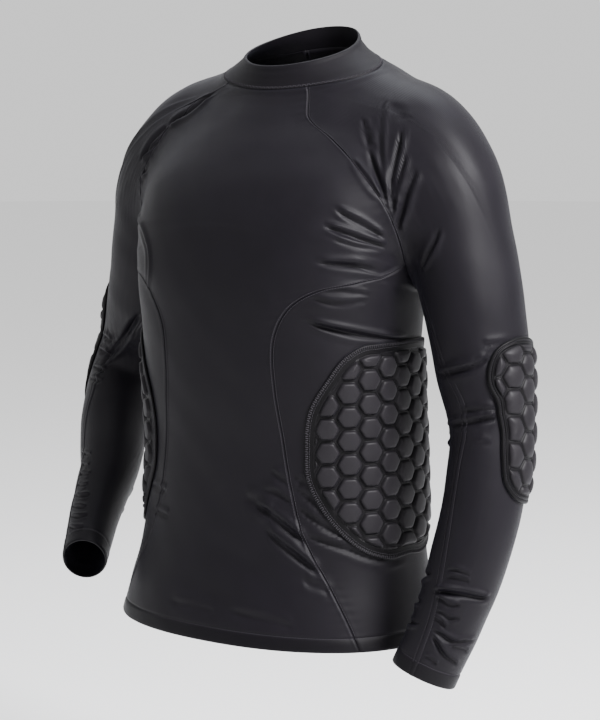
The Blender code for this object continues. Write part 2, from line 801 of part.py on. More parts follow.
def cell_pattern(outline, border):
    """Flat pattern of a pad: corners, cells as rings of corners, and the ring round the cells."""
    corners = []
    index = {}

    def corner(a, b):
        key = (round(a, 6), round(b, 6))
        if key not in index:
            turn = np.arctan2(b, a)
            reach = np.hypot(a, b)
            inner = float(outline_radius(outline, turn, border))
            if abs(reach - inner) < EDGE_CLEAR:
                reach = inner - EDGE_CLEAR
            index[key] = len(corners)
            corners.append((reach * cos(turn), reach * sin(turn), reach - inner))
        return index[key]

    crossings = {}

    def crossing(i, j):
        key = (min(i, j), max(i, j))
        if key not in crossings:
            low, high = (i, j) if corners[i][2] < 0 else (j, i)
            inside = np.array(corners[low][:2])
            outside = np.array(corners[high][:2])
            for _ in range(30):
                mid = (inside + outside) / 2
                turn = np.arctan2(mid[1], mid[0])
                if np.hypot(*mid) < outline_radius(outline, turn, border):
                    inside = mid
                else:
                    outside = mid
            crossings[key] = len(corners)
            corners.append((inside[0], inside[1], 0.0))
        return crossings[key]

    hexagon = [(cos(radians(60 * k)) * CELL_SIDE, sin(radians(60 * k)) * CELL_SIDE) for k in range(6)]
    cells = []
    chains = {}
    most = int(outline[:, 1].max() / CELL_COLUMN) + 2
    for column in range(-most, most + 1):
        for row in range(-most, most + 1):
            a0 = column * CELL_COLUMN
            b0 = (row + 0.5 * (column % 2)) * CELL_PITCH
            ring = [corner(a0 + a, b0 + b) for a, b in hexagon]
            within = [corners[k][2] < 0 for k in ring]
            if not any(within):
                continue
            cell = []
            for k in range(6):
                here, there = ring[k], ring[(k + 1) % 6]
                if within[k]:
                    cell.append(here)
                if within[k] != within[(k + 1) % 6]:
                    cell.append(crossing(here, there))
            cells.append(round_off(cell, corners, chains, outline, border))
    ring = [next(iter(chains))]
    while True:
        chain = chains[ring[-1]]
        if chain[-1] == ring[0]:
            ring += chain[:-1]
            break
        ring += chain
    return corners, cells, ring


def round_off(cell, corners, chains, outline, border):
    """A cell with the outline's own points put in where the outline cuts it."""
    done = []
    for k, here in enumerate(cell):
        there = cell[(k + 1) % len(cell)]
        done.append(here)
        if corners[here][2] != 0.0 or corners[there][2] != 0.0:
            continue
        first = np.arctan2(corners[here][1], corners[here][0])
        last = np.arctan2(corners[there][1], corners[there][0])
        last = last + 2 * pi if last < first - pi else last
        if not first < last < first + pi:
            continue
        start = np.array(corners[here][:2])
        count = int(np.ceil(np.linalg.norm(start - corners[there][:2]) / EDGE_STEP))
        added = []
        for share in np.linspace(0, 1, count + 1)[1:-1]:
            turn = first + share * (last - first)
            turn = turn - 2 * pi if turn > pi else turn
            reach = float(outline_radius(outline, turn, border))
            added.append(len(corners))
            corners.append((reach * cos(turn), reach * sin(turn), 0.0))
        chains[here] = added + [there]
        done += added
    return done


def pad(pattern, outline, shape, surface):
    """Corners and triangles of a foam pad: raised cells over a plain back, inside a flat border."""
    corners, cells, ring = pattern
    border = shape["border"]
    ridge = shape["ridge"]
    lift = shape["lift"]
    flat = []
    faces = []

    def add(a, b, level):
        flat.append((a, b, level))
        return len(flat) - 1

    base = lift + FOAM_BASE
    top = [add(a, b, base) for a, b, _ in corners]
    under = [add(a, b, lift) for a, b, _ in corners]
    full = 1.5 * CELL_SIDE * CELL_PITCH
    for cell in cells:
        edge = np.array([corners[k][:2] for k in cell])
        following = np.roll(edge, -1, 0)
        turned = edge[:, 0] * following[:, 1] - following[:, 0] * edge[:, 1]
        area = turned.sum() / 2
        centre = ((edge + following) * turned[:, None]).sum(0) / (6 * area)
        raised = area > CELL_LEAST * full
        crown = base + (FOAM_EDGE + FOAM_CROWN if raised else 0.0)
        middle = add(centre[0], centre[1], crown)
        bottom = add(centre[0], centre[1], lift)
        inner = [top[k] for k in cell]
        if raised:
            shrunk = centre + CELL_SHRINK * (edge - centre)
            inner = [add(a, b, base + FOAM_EDGE) for a, b in shrunk]
        for k in range(len(cell)):
            n = (k + 1) % len(cell)
            if raised:
                faces.append((top[cell[k]], top[cell[n]], inner[n]))
                faces.append((top[cell[k]], inner[n], inner[k]))
            faces.append((inner[k], inner[n], middle))
            faces.append((under[cell[n]], under[cell[k]], bottom))
    loops = [[top[k] for k in ring]]
    shares = [(1.0, 0.0)] if ridge == 0 else [(0.45, ridge), (1.0, 0.2 * ridge)]
    for share, height in shares + [(1.0, None)]:
        loop = []
        for k in ring:
            turn = np.arctan2(corners[k][1], corners[k][0])
            reach = float(outline_radius(outline, turn, border * (1 - share)))
            level = shape["edge_lift"] if height is None else base + height
            loop.append(add(reach * cos(turn), reach * sin(turn), level))
        loops.append(loop)
    loops.append([under[k] for k in ring])
    for first, second in zip(loops, loops[1:]):
        for k in range(len(ring)):
            n = (k + 1) % len(ring)
            faces.append((first[n], first[k], second[k]))
            faces.append((first[n], second[k], second[n]))
    used = sorted({k for face in faces for k in face})
    fresh = {k: n for n, k in enumerate(used)}
    flat = np.array([flat[k] for k in used])
    faces = [tuple(fresh[k] for k in face) for face in faces]
    points = surface(flat[:, 0], flat[:, 1])
    out = facing(points)
    points = points + (flat[:, 2] - fold_depth(points))[:, None] * out
    return points, faces


def rib_surface(side):
    """Where the rib pad's flat pattern lies on the side panel."""

    def surface(a, b):
        turn = SIGN[side] * (radians(RIB["turn"]) - a / RIB["reach"])
        return body_points(turn, RIB["height"] + b, body_field)

    return surface


def elbow_surface(side):
    """Where the elbow pad's flat pattern lies on the sleeve."""

    def surface(a, b):
        run = ELBOW["along"] - b
        _, _, _, _, side_radius, front_radius = SLEEVES[side].at(run)
        turn = radians(ELBOW["turn"]) + 2 * a / (side_radius + front_radius)
        return sleeve_points(side, run, turn)

    return surface


def clear_scene():
    """Remove what the scene starts with."""
    for thing in list(bpy.data.objects):
        bpy.data.objects.remove(thing, do_unlink=True)


def paint(name, colour, roughness):
    """A plain material for one piece."""
    material = bpy.data.materials.new(name)
    material.use_nodes = True
    shader = material.node_tree.nodes["Principled BSDF"]
    shader.inputs["Base Color"].default_value = (*colour, 1.0)
    shader.inputs["Roughness"].default_value = roughness
    shader.inputs["Metallic"].default_value = 0.0
    return material


def piece(name, corners, faces, colour, roughness, collection):
    """One named closed solid."""
    mesh = bpy.data.meshes.new(name)
    mesh.from_pydata([tuple(c) for c in corners], [], faces)
    work = bmesh.new()
    work.from_mesh(mesh)
    bmesh.ops.recalc_face_normals(work, faces=work.faces)
    for face in work.faces:
        face.smooth = True
    work.to_mesh(mesh)
    work.free()
    mesh.materials.append(paint(name, colour, roughness))
    thing = bpy.data.objects.new(name, mesh)
    collection.objects.link(thing)
    return thing


def walls(rows, first_turned, last_turned):
    """Wall thickness of each row: thicker where the edge is turned in and stitched."""
    wall = np.full(rows, WALL)
    wall[:first_turned] = TURNED_WALL
    if last_turned:
        wall[-last_turned:] = TURNED_WALL
    return wall[:, None, None]


def panel(points, wall, closed, normal=None):
    """A cloth piece with the folds drawn in."""
    out = facing(points) if normal is None else normal
    folded = points - fold_depth(points)[..., None] * facing(points)
    return cloth(folded, out, wall, closed)


def underarm_normals(points, side, row, columns, field):
    """Ways out that turn to the piece's own side between the armpits, so the wall keeps its thickness."""
    out = facing(points)
    weight = np.sin(np.linspace(0, pi, len(columns)))[:, None]
    line = points[row, columns]
    out[row, columns] = unit((1 - weight) * out[row, columns] + weight * facing(line, field))
    return out


def main():
    """Build every piece."""
    clear_scene()
    collection = bpy.data.collections.new("padded_compression_shirt")
    bpy.context.scene.collection.children.link(collection)
    for face in ("front", "back"):
        points = face_panel(face)
        made = panel(points, walls(len(points), TURNED_ROWS, 0), False)
        piece(face, *made, CHARCOAL, 0.48, collection)
    for side in SIGN:
        points = side_panel(side)
        every = np.arange(SIDE_STEPS + 1)
        out = underarm_normals(points, side, len(points) - 1, every, body_field)
        made = panel(points, walls(len(points), TURNED_ROWS, 0), False, out)
        piece("side_" + side, *made, CHARCOAL_SIDE, 0.50, collection)
        points = sleeve_panel(side)
        count = points.shape[1]
        under = np.r_[np.arange(count - SIDE_STEPS, count), 0]
        out = underarm_normals(points, side, 0, under, SLEEVES[side].field)
        made = panel(points, walls(len(points), 0, TURNED_ROWS), True, out)
        piece("sleeve_" + side, *made, CHARCOAL, 0.48, collection)
    piece("collar", *panel(collar_panel(), COLLAR_WALL, True), CHARCOAL_SIDE, 0.55, collection)
    for name, shape, outline, surface in (
        ("rib_pad_", RIB, RIB_OUTLINE, rib_surface),
        ("elbow_pad_", ELBOW, ELBOW_OUTLINE, elbow_surface),
    ):
        pattern = cell_pattern(outline, shape["border"])
        for side in SIGN:
            made = pad(pattern, outline, shape, surface(side))
            piece(name + side, *made, FOAM_BLACK, 0.52, collection)


main()
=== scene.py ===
from math import cos, pi, radians, sin, tan

import bpy
import numpy as np
from mathutils import Matrix


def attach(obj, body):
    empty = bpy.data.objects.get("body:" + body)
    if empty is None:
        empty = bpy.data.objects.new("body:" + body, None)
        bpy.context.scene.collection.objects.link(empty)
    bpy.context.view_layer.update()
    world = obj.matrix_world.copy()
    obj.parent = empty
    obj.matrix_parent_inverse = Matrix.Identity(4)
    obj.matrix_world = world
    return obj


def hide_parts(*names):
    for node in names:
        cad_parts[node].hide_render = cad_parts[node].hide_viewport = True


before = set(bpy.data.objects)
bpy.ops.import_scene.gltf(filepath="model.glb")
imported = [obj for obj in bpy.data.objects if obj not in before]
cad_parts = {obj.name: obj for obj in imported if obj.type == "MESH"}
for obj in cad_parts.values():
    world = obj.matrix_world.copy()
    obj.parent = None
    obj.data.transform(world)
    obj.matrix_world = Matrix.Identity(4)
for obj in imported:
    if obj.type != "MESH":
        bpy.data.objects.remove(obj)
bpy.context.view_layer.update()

print("scene: the packed frame is loaded")

# Camera: where it looks from, in degrees and metres, and the picture's size
camera = {
    "azimuth": 38.0,
    "elevation": 7.5,
    "distance": 2.7,
    "height": -0.345,
    "focal": 2430.0,
    "across": 299.0,
    "down": 360.0,
    "picture": (600, 720),
    "sensor": 36,
}
turnRound = radians(camera["azimuth"])
turnUp = radians(camera["elevation"])
viewBack = np.array([sin(turnRound) * cos(turnUp), -cos(turnRound) * cos(turnUp), sin(turnUp)])
viewRight = np.array([cos(turnRound), sin(turnRound), 0.0])
viewUp = np.cross(viewBack, viewRight)
viewFrom = np.array([0.0, 0.0, camera["height"]]) + camera["distance"] * viewBack

# The form, as in the frame. Body: height, half width, front and back depth, middle, squareness
bodyRows = np.array([
    [-0.630, 0.192, 0.136, 0.126, -0.035, 2.2], [-0.590, 0.183, 0.129, 0.120, -0.032, 2.2],
    [-0.540, 0.172, 0.121, 0.113, -0.027, 2.2], [-0.480, 0.166, 0.117, 0.110, -0.024, 2.3],
    [-0.420, 0.164, 0.117, 0.108, -0.024, 2.3], [-0.360, 0.162, 0.119, 0.106, -0.027, 2.4],
    [-0.300, 0.164, 0.121, 0.106, -0.029, 2.4], [-0.240, 0.169, 0.124, 0.110, -0.027, 2.5],
    [-0.190, 0.173, 0.124, 0.114, -0.019, 2.5], [-0.140, 0.169, 0.118, 0.114, -0.005, 2.4],
    [-0.105, 0.156, 0.110, 0.106, 0.011, 2.2], [-0.075, 0.132, 0.098, 0.092, 0.022, 2.1],
    [-0.050, 0.103, 0.084, 0.078, 0.024, 2.0], [-0.025, 0.078, 0.072, 0.070, 0.018, 2.0],
    [0.005, 0.060, 0.058, 0.060, 0.014, 2.0], [0.050, 0.056, 0.054, 0.056, 0.014, 2.0],
])
# Middle line of each sleeve
armLines = {
    "left": np.array([
        [0.088, 0.032, -0.073], [0.150, 0.022, -0.103], [0.186, 0.012, -0.146],
        [0.211, 0.006, -0.205], [0.232, 0.000, -0.265], [0.249, -0.007, -0.330],
        [0.266, -0.018, -0.395], [0.272, -0.036, -0.460], [0.268, -0.055, -0.520],
        [0.255, -0.072, -0.583], [0.232, -0.087, -0.647],
    ]),
    "right": np.array([
        [-0.088, 0.032, -0.073], [-0.158, 0.022, -0.104], [-0.196, 0.015, -0.150],
        [-0.223, 0.026, -0.212], [-0.257, 0.047, -0.286], [-0.296, 0.068, -0.345],
        [-0.316, 0.065, -0.392], [-0.304, 0.032, -0.440], [-0.272, -0.015, -0.490],
        [-0.250, -0.065, -0.537], [-0.224, -0.112, -0.581],
    ]),
}
# Sleeve sections: distance along, side radius, front radius, turn in degrees
armSections = np.array([
    [0.000, 0.050, 0.058, 0], [0.060, 0.058, 0.062, 0], [0.120, 0.061, 0.063, 0],
    [0.180, 0.057, 0.059, 0], [0.260, 0.053, 0.055, 0], [0.330, 0.049, 0.050, 0],
    [0.390, 0.042, 0.042, 0], [0.440, 0.042, 0.042, 0], [0.520, 0.041, 0.038, -15],
    [0.600, 0.036, 0.031, -30], [0.700, 0.035, 0.025, -35],
])
armPoints = 48
signs = {"left": 1.0, "right": -1.0}
joinSoft = 0.055
joinTight = 0.006
joinBottom = -0.27
joinRise = 0.10
neckY = 0.010
neckTilt = tan(radians(19))
seamMid = -0.022
topMid = 0.002

# Raglan seams: height, distance from the middle
raglanRows = {
    ("left", "front"): np.array([
        [-0.262, 0.167], [-0.254, 0.169], [-0.247, 0.1715], [-0.234, 0.1745], [-0.220, 0.1775],
        [-0.199, 0.1785], [-0.161, 0.167], [-0.138, 0.150], [-0.119, 0.130], [-0.094, 0.096],
        [-0.075, 0.065], [-0.056, 0.055], [-0.038, 0.048], [0.010, 0.040],
    ]),
    ("left", "back"): np.array([
        [-0.262, 0.170], [-0.254, 0.169], [-0.250, 0.1665], [-0.2386, 0.163], [-0.2266, 0.160],
        [-0.215, 0.158], [-0.190, 0.157], [-0.165, 0.154], [-0.138, 0.143], [-0.119, 0.127],
        [-0.094, 0.096], [-0.075, 0.070], [-0.056, 0.056], [-0.038, 0.049], [0.010, 0.040],
    ]),
    ("right", "front"): np.array([
        [-0.250, 0.169], [-0.2365, 0.1705], [-0.2337, 0.1735], [-0.2261, 0.1765],
        [-0.2171, 0.1795], [-0.2071, 0.182], [-0.195, 0.183], [-0.175, 0.1825],
        [-0.149, 0.181], [-0.120, 0.170], [-0.104, 0.160], [-0.089, 0.150], [-0.071, 0.129],
        [-0.054, 0.107], [-0.043, 0.080], [-0.033, 0.051], [0.010, 0.038],
    ]),
    ("right", "back"): np.array([
        [-0.250, 0.172], [-0.2365, 0.1700], [-0.2327, 0.165], [-0.2247, 0.1615],
        [-0.2145, 0.1585], [-0.204, 0.157], [-0.185, 0.156], [-0.165, 0.154], [-0.138, 0.145],
        [-0.119, 0.129], [-0.094, 0.100], [-0.075, 0.074], [-0.056, 0.058], [-0.038, 0.048],
        [0.010, 0.038],
    ]),
}
armholeLowest = {"left": 171, "right": 178}
armholeY = 0.010
armholeZ = -0.150
armpitTurn = 145

# Side panel: row, front angle, front height, chest height, side height, back angle, back and spine height
sideRows = np.array([
    [0, 66.0, -0.630, -0.630, -0.630, 114, -0.630, -0.630],
    [1, 62.0, -0.598, -0.598, -0.598, 119, -0.598, -0.598],
    [2, 56.0, -0.562, -0.562, -0.562, 125, -0.562, -0.562],
    [3, 46.0, -0.512, -0.515, -0.515, 132, -0.512, -0.515],
    [4, 40.5, -0.462, -0.465, -0.468, 137, -0.462, -0.465],
    [5, 37.0, -0.408, -0.410, -0.420, 140, -0.408, -0.410],
    [6, 34.0, -0.352, -0.350, -0.378, 141, -0.352, -0.350],
    [7, 34.0, -0.305, -0.300, -0.343, 140, -0.305, -0.300],
    [8, 40.0, -0.271, -0.265, -0.314, 136, -0.269, -0.262],
    [9, 51.0, -0.251, -0.235, -0.292, 129, -0.245, -0.230],
    [10, 65.0, -0.243, -0.208, -0.272, 121, -0.229, -0.200],
    [11, 80.0, -0.236, -0.182, -0.252, 115, -0.217, -0.172],
])

# How finely the form is solved, before curves are drawn through its points
lowSteps = 44
lowRows = np.linspace(0, 11, lowSteps + 1)
raglanSteps = 20
faceSteps = 44
sideSteps = 14
neckSteps = 10
sleeveSteps = 56

# Broad folds of the frame: face, across and height of both ends, half width, depth
broadBody = [
    ("front", 0.122, -0.078, 0.168, -0.160, 0.013, 0.0045),
    ("front", 0.112, -0.168, 0.166, -0.205, 0.012, 0.0048),
    ("front", 0.104, -0.214, 0.166, -0.236, 0.012, 0.0044),
    ("front", 0.088, -0.284, 0.162, -0.304, 0.013, 0.0048),
    ("front", -0.075, -0.565, 0.085, -0.606, 0.017, 0.0045),
    ("front", -0.020, -0.520, 0.100, -0.575, 0.015, 0.0045),
    ("front", -0.150, -0.205, -0.095, -0.232, 0.013, 0.0040),
    ("front", -0.150, -0.250, -0.085, -0.262, 0.013, 0.0040),
    ("back", 0.160, -0.190, 0.085, -0.222, 0.014, 0.0045),
    ("back", 0.158, -0.232, 0.080, -0.250, 0.014, 0.0042),
    ("back", -0.160, -0.200, -0.090, -0.230, 0.014, 0.0045),
    ("back", 0.060, -0.480, -0.080, -0.505, 0.020, 0.0048),
    ("back", -0.060, -0.545, 0.080, -0.572, 0.020, 0.0045),
]
# The same on the sleeves: side, distance along and angle round of both ends, half width, depth
broadSleeve = [
    ("left", 0.324, 118, 0.306, 62, 0.013, 0.0046),
    ("left", 0.372, 104, 0.380, 60, 0.013, 0.0042),
    ("left", 0.555, 130, 0.556, 35, 0.013, 0.0044),
    ("left", 0.598, 130, 0.602, 60, 0.012, 0.0036),
    ("left", 0.480, 250, 0.500, 190, 0.014, 0.0036),
    ("right", 0.286, 150, 0.345, 75, 0.014, 0.0046),
    ("right", 0.370, 165, 0.385, 95, 0.014, 0.0046),
    ("right", 0.440, 170, 0.425, 100, 0.014, 0.0042),
    ("right", 0.560, 20, 0.566, 100, 0.012, 0.0036),
    ("right", 0.610, 20, 0.616, 110, 0.012, 0.0036),
]
broadShare = 0.5


# A cubic curve between two values a span apart, from its slopes at both
def cubic(t, span, low, high, slopeLow, slopeHigh):
    return (
        (2 * t**3 - 3 * t**2 + 1) * low
        + (t**3 - 2 * t**2 + t) * span * slopeLow
        + (3 * t**2 - 2 * t**3) * high
        + (t**3 - t**2) * span * slopeHigh
    )


# Curves through a table's rows, read at places in its first column
def smooth(table, at):
    keys = table[:, 0]
    values = table[:, 1:]
    at = np.clip(at, keys[0], keys[-1])
    low = np.clip(np.searchsorted(keys, at) - 1, 0, len(keys) - 2)
    slopes = np.gradient(values, keys, axis=0)
    span = (keys[low + 1] - keys[low])[..., None]
    t = (at - keys[low])[..., None] / span
    return cubic(t, span, values[low], values[low + 1], slopes[low], slopes[low + 1])


# Vectors of length one
def unit(vectors):
    return vectors / np.maximum(np.linalg.norm(vectors, axis=-1, keepdims=True), 1e-12)


# Soft step from 0 to 1
def ease(t):
    t = np.clip(t, 0, 1)
    return t * t * (3 - 2 * t)


# Distance outside the body's tube, measured from its middle line
def bodyField(points):
    half, front, back, middle, power = np.moveaxis(smooth(bodyRows, points[..., 2]), -1, 0)
    x = points[..., 0]
    y = points[..., 1] - middle
    depth = np.where(y < 0, front, back)
    reach = np.hypot(x, y) + 1e-9
    scale = (np.abs(x / half) ** power + np.abs(y / depth) ** power) ** (1 / power) + 1e-9
    return reach * (1 - 1 / scale)


# One sleeve's middle line with the axes and radii of its sections
class Sleeve:
    def __init__(self, side):
        rows = armLines[side]
        legs = np.linalg.norm(np.diff(rows, axis=0), axis=1)
        table = np.column_stack([np.r_[0, np.cumsum(legs)], rows])
        fine = smooth(table, np.linspace(0, table[-1, 0], 400))
        run = np.r_[0, np.cumsum(np.linalg.norm(np.diff(fine, axis=0), axis=1))]
        self.length = run[-1]
        self.run = np.linspace(0, run[-1], armPoints)
        self.middle = np.stack([np.interp(self.run, run, fine[:, k]) for k in range(3)], -1)
        self.ahead = unit(np.gradient(self.middle, axis=0))
        front = np.array([0.0, -1.0, 0.0])
        toward = unit(front - (self.ahead @ front)[:, None] * self.ahead)
        out = signs[side] * np.cross(toward, self.ahead)
        if out[armPoints // 2, 0] * signs[side] < 0:
            out = -out
        section = smooth(armSections, self.run)
        turn = np.radians(section[:, 2])[:, None]
        self.out = np.cos(turn) * out + np.sin(turn) * toward
        self.front = np.cos(turn) * toward - np.sin(turn) * out
        self.sideRadius = section[:, 0]
        self.frontRadius = section[:, 1]

    # Distance outside this sleeve's tube, measured from its middle line
    def field(self, points):
        flat = points.reshape(-1, 3)
        best = np.full(len(flat), 1e9)
        leg = np.zeros(len(flat), int)
        share = np.zeros(len(flat))
        for i in range(armPoints - 1):
            step = self.middle[i + 1] - self.middle[i]
            part = np.clip((flat - self.middle[i]) @ step / (step @ step), 0, 1)
            away = flat - self.middle[i] - part[:, None] * step
            far = np.einsum("ij,ij->i", away, away)
            near = far < best
            best[near] = far[near]
            leg[near] = i
            share[near] = part[near]
        middle, _, out, front, sideRadius, frontRadius = self.mixed(leg, share)
        away = flat - middle
        u = (away * out).sum(1)
        v = (away * front).sum(1)
        reach = np.linalg.norm(away, axis=1) + 1e-9
        rest = np.clip(reach**2 - u**2 - v**2, 0, None)
        squares = (u / sideRadius) ** 2 + (v / frontRadius) ** 2
        scale = np.sqrt(squares + rest / (sideRadius * frontRadius)) + 1e-9
        return (reach * (1 - 1 / scale)).reshape(points.shape[:-1])

    # Middle, direction, axes and radii part of the way along the numbered legs
    def mixed(self, leg, share):
        parts = []
        for values in (self.middle, self.ahead, self.out, self.front, self.sideRadius, self.frontRadius):
            weight = share.reshape(share.shape + (1,) * (values.ndim - 1))
            parts.append(values[leg] * (1 - weight) + values[leg + 1] * weight)
        return parts

    # Middle, direction, axes and radii at distances along the line, and straight on before it
    def at(self, run):
        place = np.clip(run, 0, self.length) / self.length * (armPoints - 1)
        leg = np.clip(place.astype(int), 0, armPoints - 2)
        parts = self.mixed(leg, place - leg)
        parts[0] = parts[0] + np.minimum(run, 0)[..., None] * self.ahead[0]
        return parts

    # Distance along the line and angle round it of points
    def placeOf(self, points):
        runs = np.linspace(-0.12, self.length, 900)
        middles = self.at(runs)[0]
        near = np.linalg.norm(points[..., None, :] - middles, axis=-1).argmin(-1)
        middle, _, out, front, _, _ = self.at(runs[near])
        away = points - middle
        return runs[near], np.arctan2((away * front).sum(-1), (away * out).sum(-1))

    # Start, way and length of the spoke from the middle line to the sleeve's own tube
    def ray(self, run, turn):
        middle, _, out, front, sideRadius, frontRadius = self.at(run)
        way = np.cos(turn)[..., None] * out + np.sin(turn)[..., None] * front
        reach = 1 / np.sqrt((np.cos(turn) / sideRadius) ** 2 + (np.sin(turn) / frontRadius) ** 2)
        return middle, way, reach


sleeves = {side: Sleeve(side) for side in armLines}


# Distance outside the sleeve on each point's own side
def sleevesField(points):
    values = np.empty(points.shape[:-1])
    left = points[..., 0] >= 0
    values[left] = sleeves["left"].field(points[left])
    values[~left] = sleeves["right"].field(points[~left])
    return values


# Body and sleeves run softly into one: negative inside
def form(points):
    body = bodyField(points)
    arms = sleevesField(points)
    width = joinTight + (joinSoft - joinTight) * ease((points[..., 2] - joinBottom) / joinRise)
    share = np.clip(0.5 + 0.5 * (arms - body) / width, 0, 1)
    return arms * (1 - share) + body * share - width * share * (1 - share)


# Unit vectors out of a form
def facing(points, field=form, step=0.0005):
    slope = [field(points + step * axis) - field(points - step * axis) for axis in np.eye(3)]
    return unit(np.stack(slope, -1))


# Distance at which rays from inside a form come out of it
def leave(start, way, field, first):
    inside = first + np.zeros(way.shape[:-1])
    outside = np.full(way.shape[:-1], np.inf)
    reach = inside.copy()
    for _ in range(30):
        value = field(start + reach[..., None] * way)
        within = value < 0
        inside = np.where(within, np.maximum(inside, reach), inside)
        outside = np.where(within, outside, np.minimum(outside, reach))
        forward = reach + np.maximum(-0.9 * value, 0.0004)
        reach = np.where(np.isfinite(outside), (inside + np.minimum(outside, 9)) / 2, forward)
    return np.where(np.isfinite(outside), (inside + np.minimum(outside, 9)) / 2, inside)


# Points on a form, by the angle from the front and the height
def bodyPoints(turn, height, field):
    turn, height = np.broadcast_arrays(turn, height)
    zero = np.zeros(turn.shape)
    start = np.stack([zero, smooth(bodyRows, height)[..., 3], height], -1)
    way = np.stack([np.sin(turn), -np.cos(turn), zero], -1)
    return start + leave(start, way, field, 0.03)[..., None] * way


# Angle from the front of points on the body
def turnOf(points):
    middle = smooth(bodyRows, points[..., 2])[..., 3]
    return np.arctan2(points[..., 0], middle - points[..., 1])


# Points of the neck in the tilted plane at the given middle height
def neckPoints(turn, mid):
    start = np.zeros(turn.shape + (3,)) + np.array([0.0, neckY, 0.0])
    start[..., 2] = mid
    way = unit(np.stack([np.sin(turn), -np.cos(turn), -np.cos(turn) * neckTilt], -1))
    return start + leave(start, way, form, 0.02)[..., None] * way


# Points on the shirt, by the distance along a sleeve and the angle round it
def sleevePoints(side, run, turn):
    start, way, own = sleeves[side].ray(run, turn)
    full = leave(start, way, form, 0.3 * own)
    most = np.where(run > 0.16, 0.020, 0.300)
    reach = np.where(full - own > most, own, full)
    return start + reach[..., None] * way


# Points where the camera's rays through places in the picture meet the form
def seenPoints(places):
    places = np.asarray(places, float)
    across = (places[:, 0] - camera["across"]) / camera["focal"]
    down = (places[:, 1] - camera["down"]) / camera["focal"]
    way = unit(-viewBack + across[:, None] * viewRight - down[:, None] * viewUp)
    found = np.full(len(places), np.nan)
    steps = np.arange(2.25, 3.05, 0.005)
    before = form(viewFrom + steps[0] * way)
    for near, far in zip(steps[:-1], steps[1:]):
        after = form(viewFrom + far * way)
        meets = np.isnan(found) & (before > 0) & (after <= 0)
        found[meets] = near + (far - near) * before[meets] / (before[meets] - after[meets])
        before = after
    return viewFrom + found[:, None] * way


# Distance along a line, or along each line of a grid
def lengths(line, axis=0):
    steps = np.linalg.norm(np.diff(line, axis=axis), axis=-1)
    first = np.zeros_like(np.take(steps, [0], axis))
    return np.concatenate([first, np.cumsum(steps, axis)], axis)


# Points at even distances along a line
def spread(line, steps):
    run = lengths(line)
    even = np.linspace(0, run[-1], steps + 1)
    return np.stack([np.interp(even, run, line[:, k]) for k in range(3)], -1)


# Points where the raglan surface meets the shirt, by the angle from straight up
def armholePoints(side, turn):
    low = radians(armholeLowest[side])
    inFront = (turn > 0) & (turn <= low)

    def path(reach):
        height = armholeZ + reach * np.cos(turn)
        front = smooth(raglanRows[side, "front"], height)[..., 0]
        back = smooth(raglanRows[side, "back"], height)[..., 0]
        across = signs[side] * np.where(inFront, front, back)
        return np.stack([across, armholeY - reach * np.sin(turn), height], -1)

    steps = np.linspace(0.01, 0.26, 126)
    within = form(path(steps[:, None] + np.zeros(turn.shape))) < 0
    first = np.argmin(within, 0)
    inside = steps[np.maximum(first - 1, 0)]
    outside = inside + 0.002
    for _ in range(18):
        reach = (inside + outside) / 2
        within = form(path(reach)) < 0
        inside = np.where(within, reach, inside)
        outside = np.where(within, outside, reach)
    return path(inside)


# Angle at which the collar seam meets the raglan seam
def neckCorner(side, face, near, far):
    turns = np.radians(np.linspace(near, far, 120))
    points = neckPoints(signs[side] * turns, seamMid)
    off = np.abs(points[:, 0]) - smooth(raglanRows[side, face], points[:, 2])[:, 0]
    k = int(np.argmax(off > 0))
    share = off[k - 1] / (off[k - 1] - off[k])
    return turns[k - 1] + share * (turns[k] - turns[k - 1])


# The seam lines of one side, each sampled once for the two pieces that meet there
def seamLines(side):
    sign = signs[side]
    corners = {
        "front": neckCorner(side, "front", 10, 90),
        "back": neckCorner(side, "back", 170, 90),
    }
    lines = {"corners": corners}
    for face, toward in (("front", 1), ("back", -1)):
        corner = neckPoints(np.array([sign * corners[face]]), seamMid)[0]
        top = np.arctan2(toward * (armholeY - corner[1]), corner[2] - armholeZ)
        fan = toward * np.linspace(radians(armpitTurn), top, 160)
        lines["raglan_" + face] = spread(armholePoints(side, fan), raglanSteps)
        lines["raglan_" + face][-1] = corner
    under = np.radians(np.linspace(armpitTurn, 360 - armpitTurn, 100))
    lines["under"] = spread(armholePoints(side, under), sideSteps)
    lines["under"][0] = lines["raglan_front"][0]
    lines["under"][-1] = lines["raglan_back"][0]
    rows = smooth(sideRows, lowRows)
    lines["side_front"] = bodyPoints(sign * np.radians(rows[:, 0]), rows[:, 1], bodyField)
    lines["side_front"][-1] = lines["raglan_front"][0]
    lines["side_back"] = bodyPoints(sign * np.radians(rows[:, 4]), rows[:, 5], bodyField)
    lines["side_back"][-1] = lines["raglan_back"][0]
    lines["side_middle"] = rows[:, 3]
    fan = sign * np.linspace(corners["front"], corners["back"], neckSteps + 1)
    lines["neck"] = neckPoints(fan, seamMid)
    lines["neck"][0] = lines["raglan_front"][-1]
    lines["neck"][-1] = lines["raglan_back"][-1]
    return lines


seams = {side: seamLines(side) for side in signs}


# Angles that run on without a break past the back's middle
def unbroken(turn, face):
    return np.where(turn < 0, turn + 2 * pi, turn) if face == "back" else turn


# Angle from the front round the neck's middle
def turnInNeck(points, face):
    return unbroken(np.arctan2(points[:, 0], neckY - points[:, 1]), face)


# The sides at a panel's first and last column
edgeSides = {"front": ("right", "left"), "back": ("left", "right")}


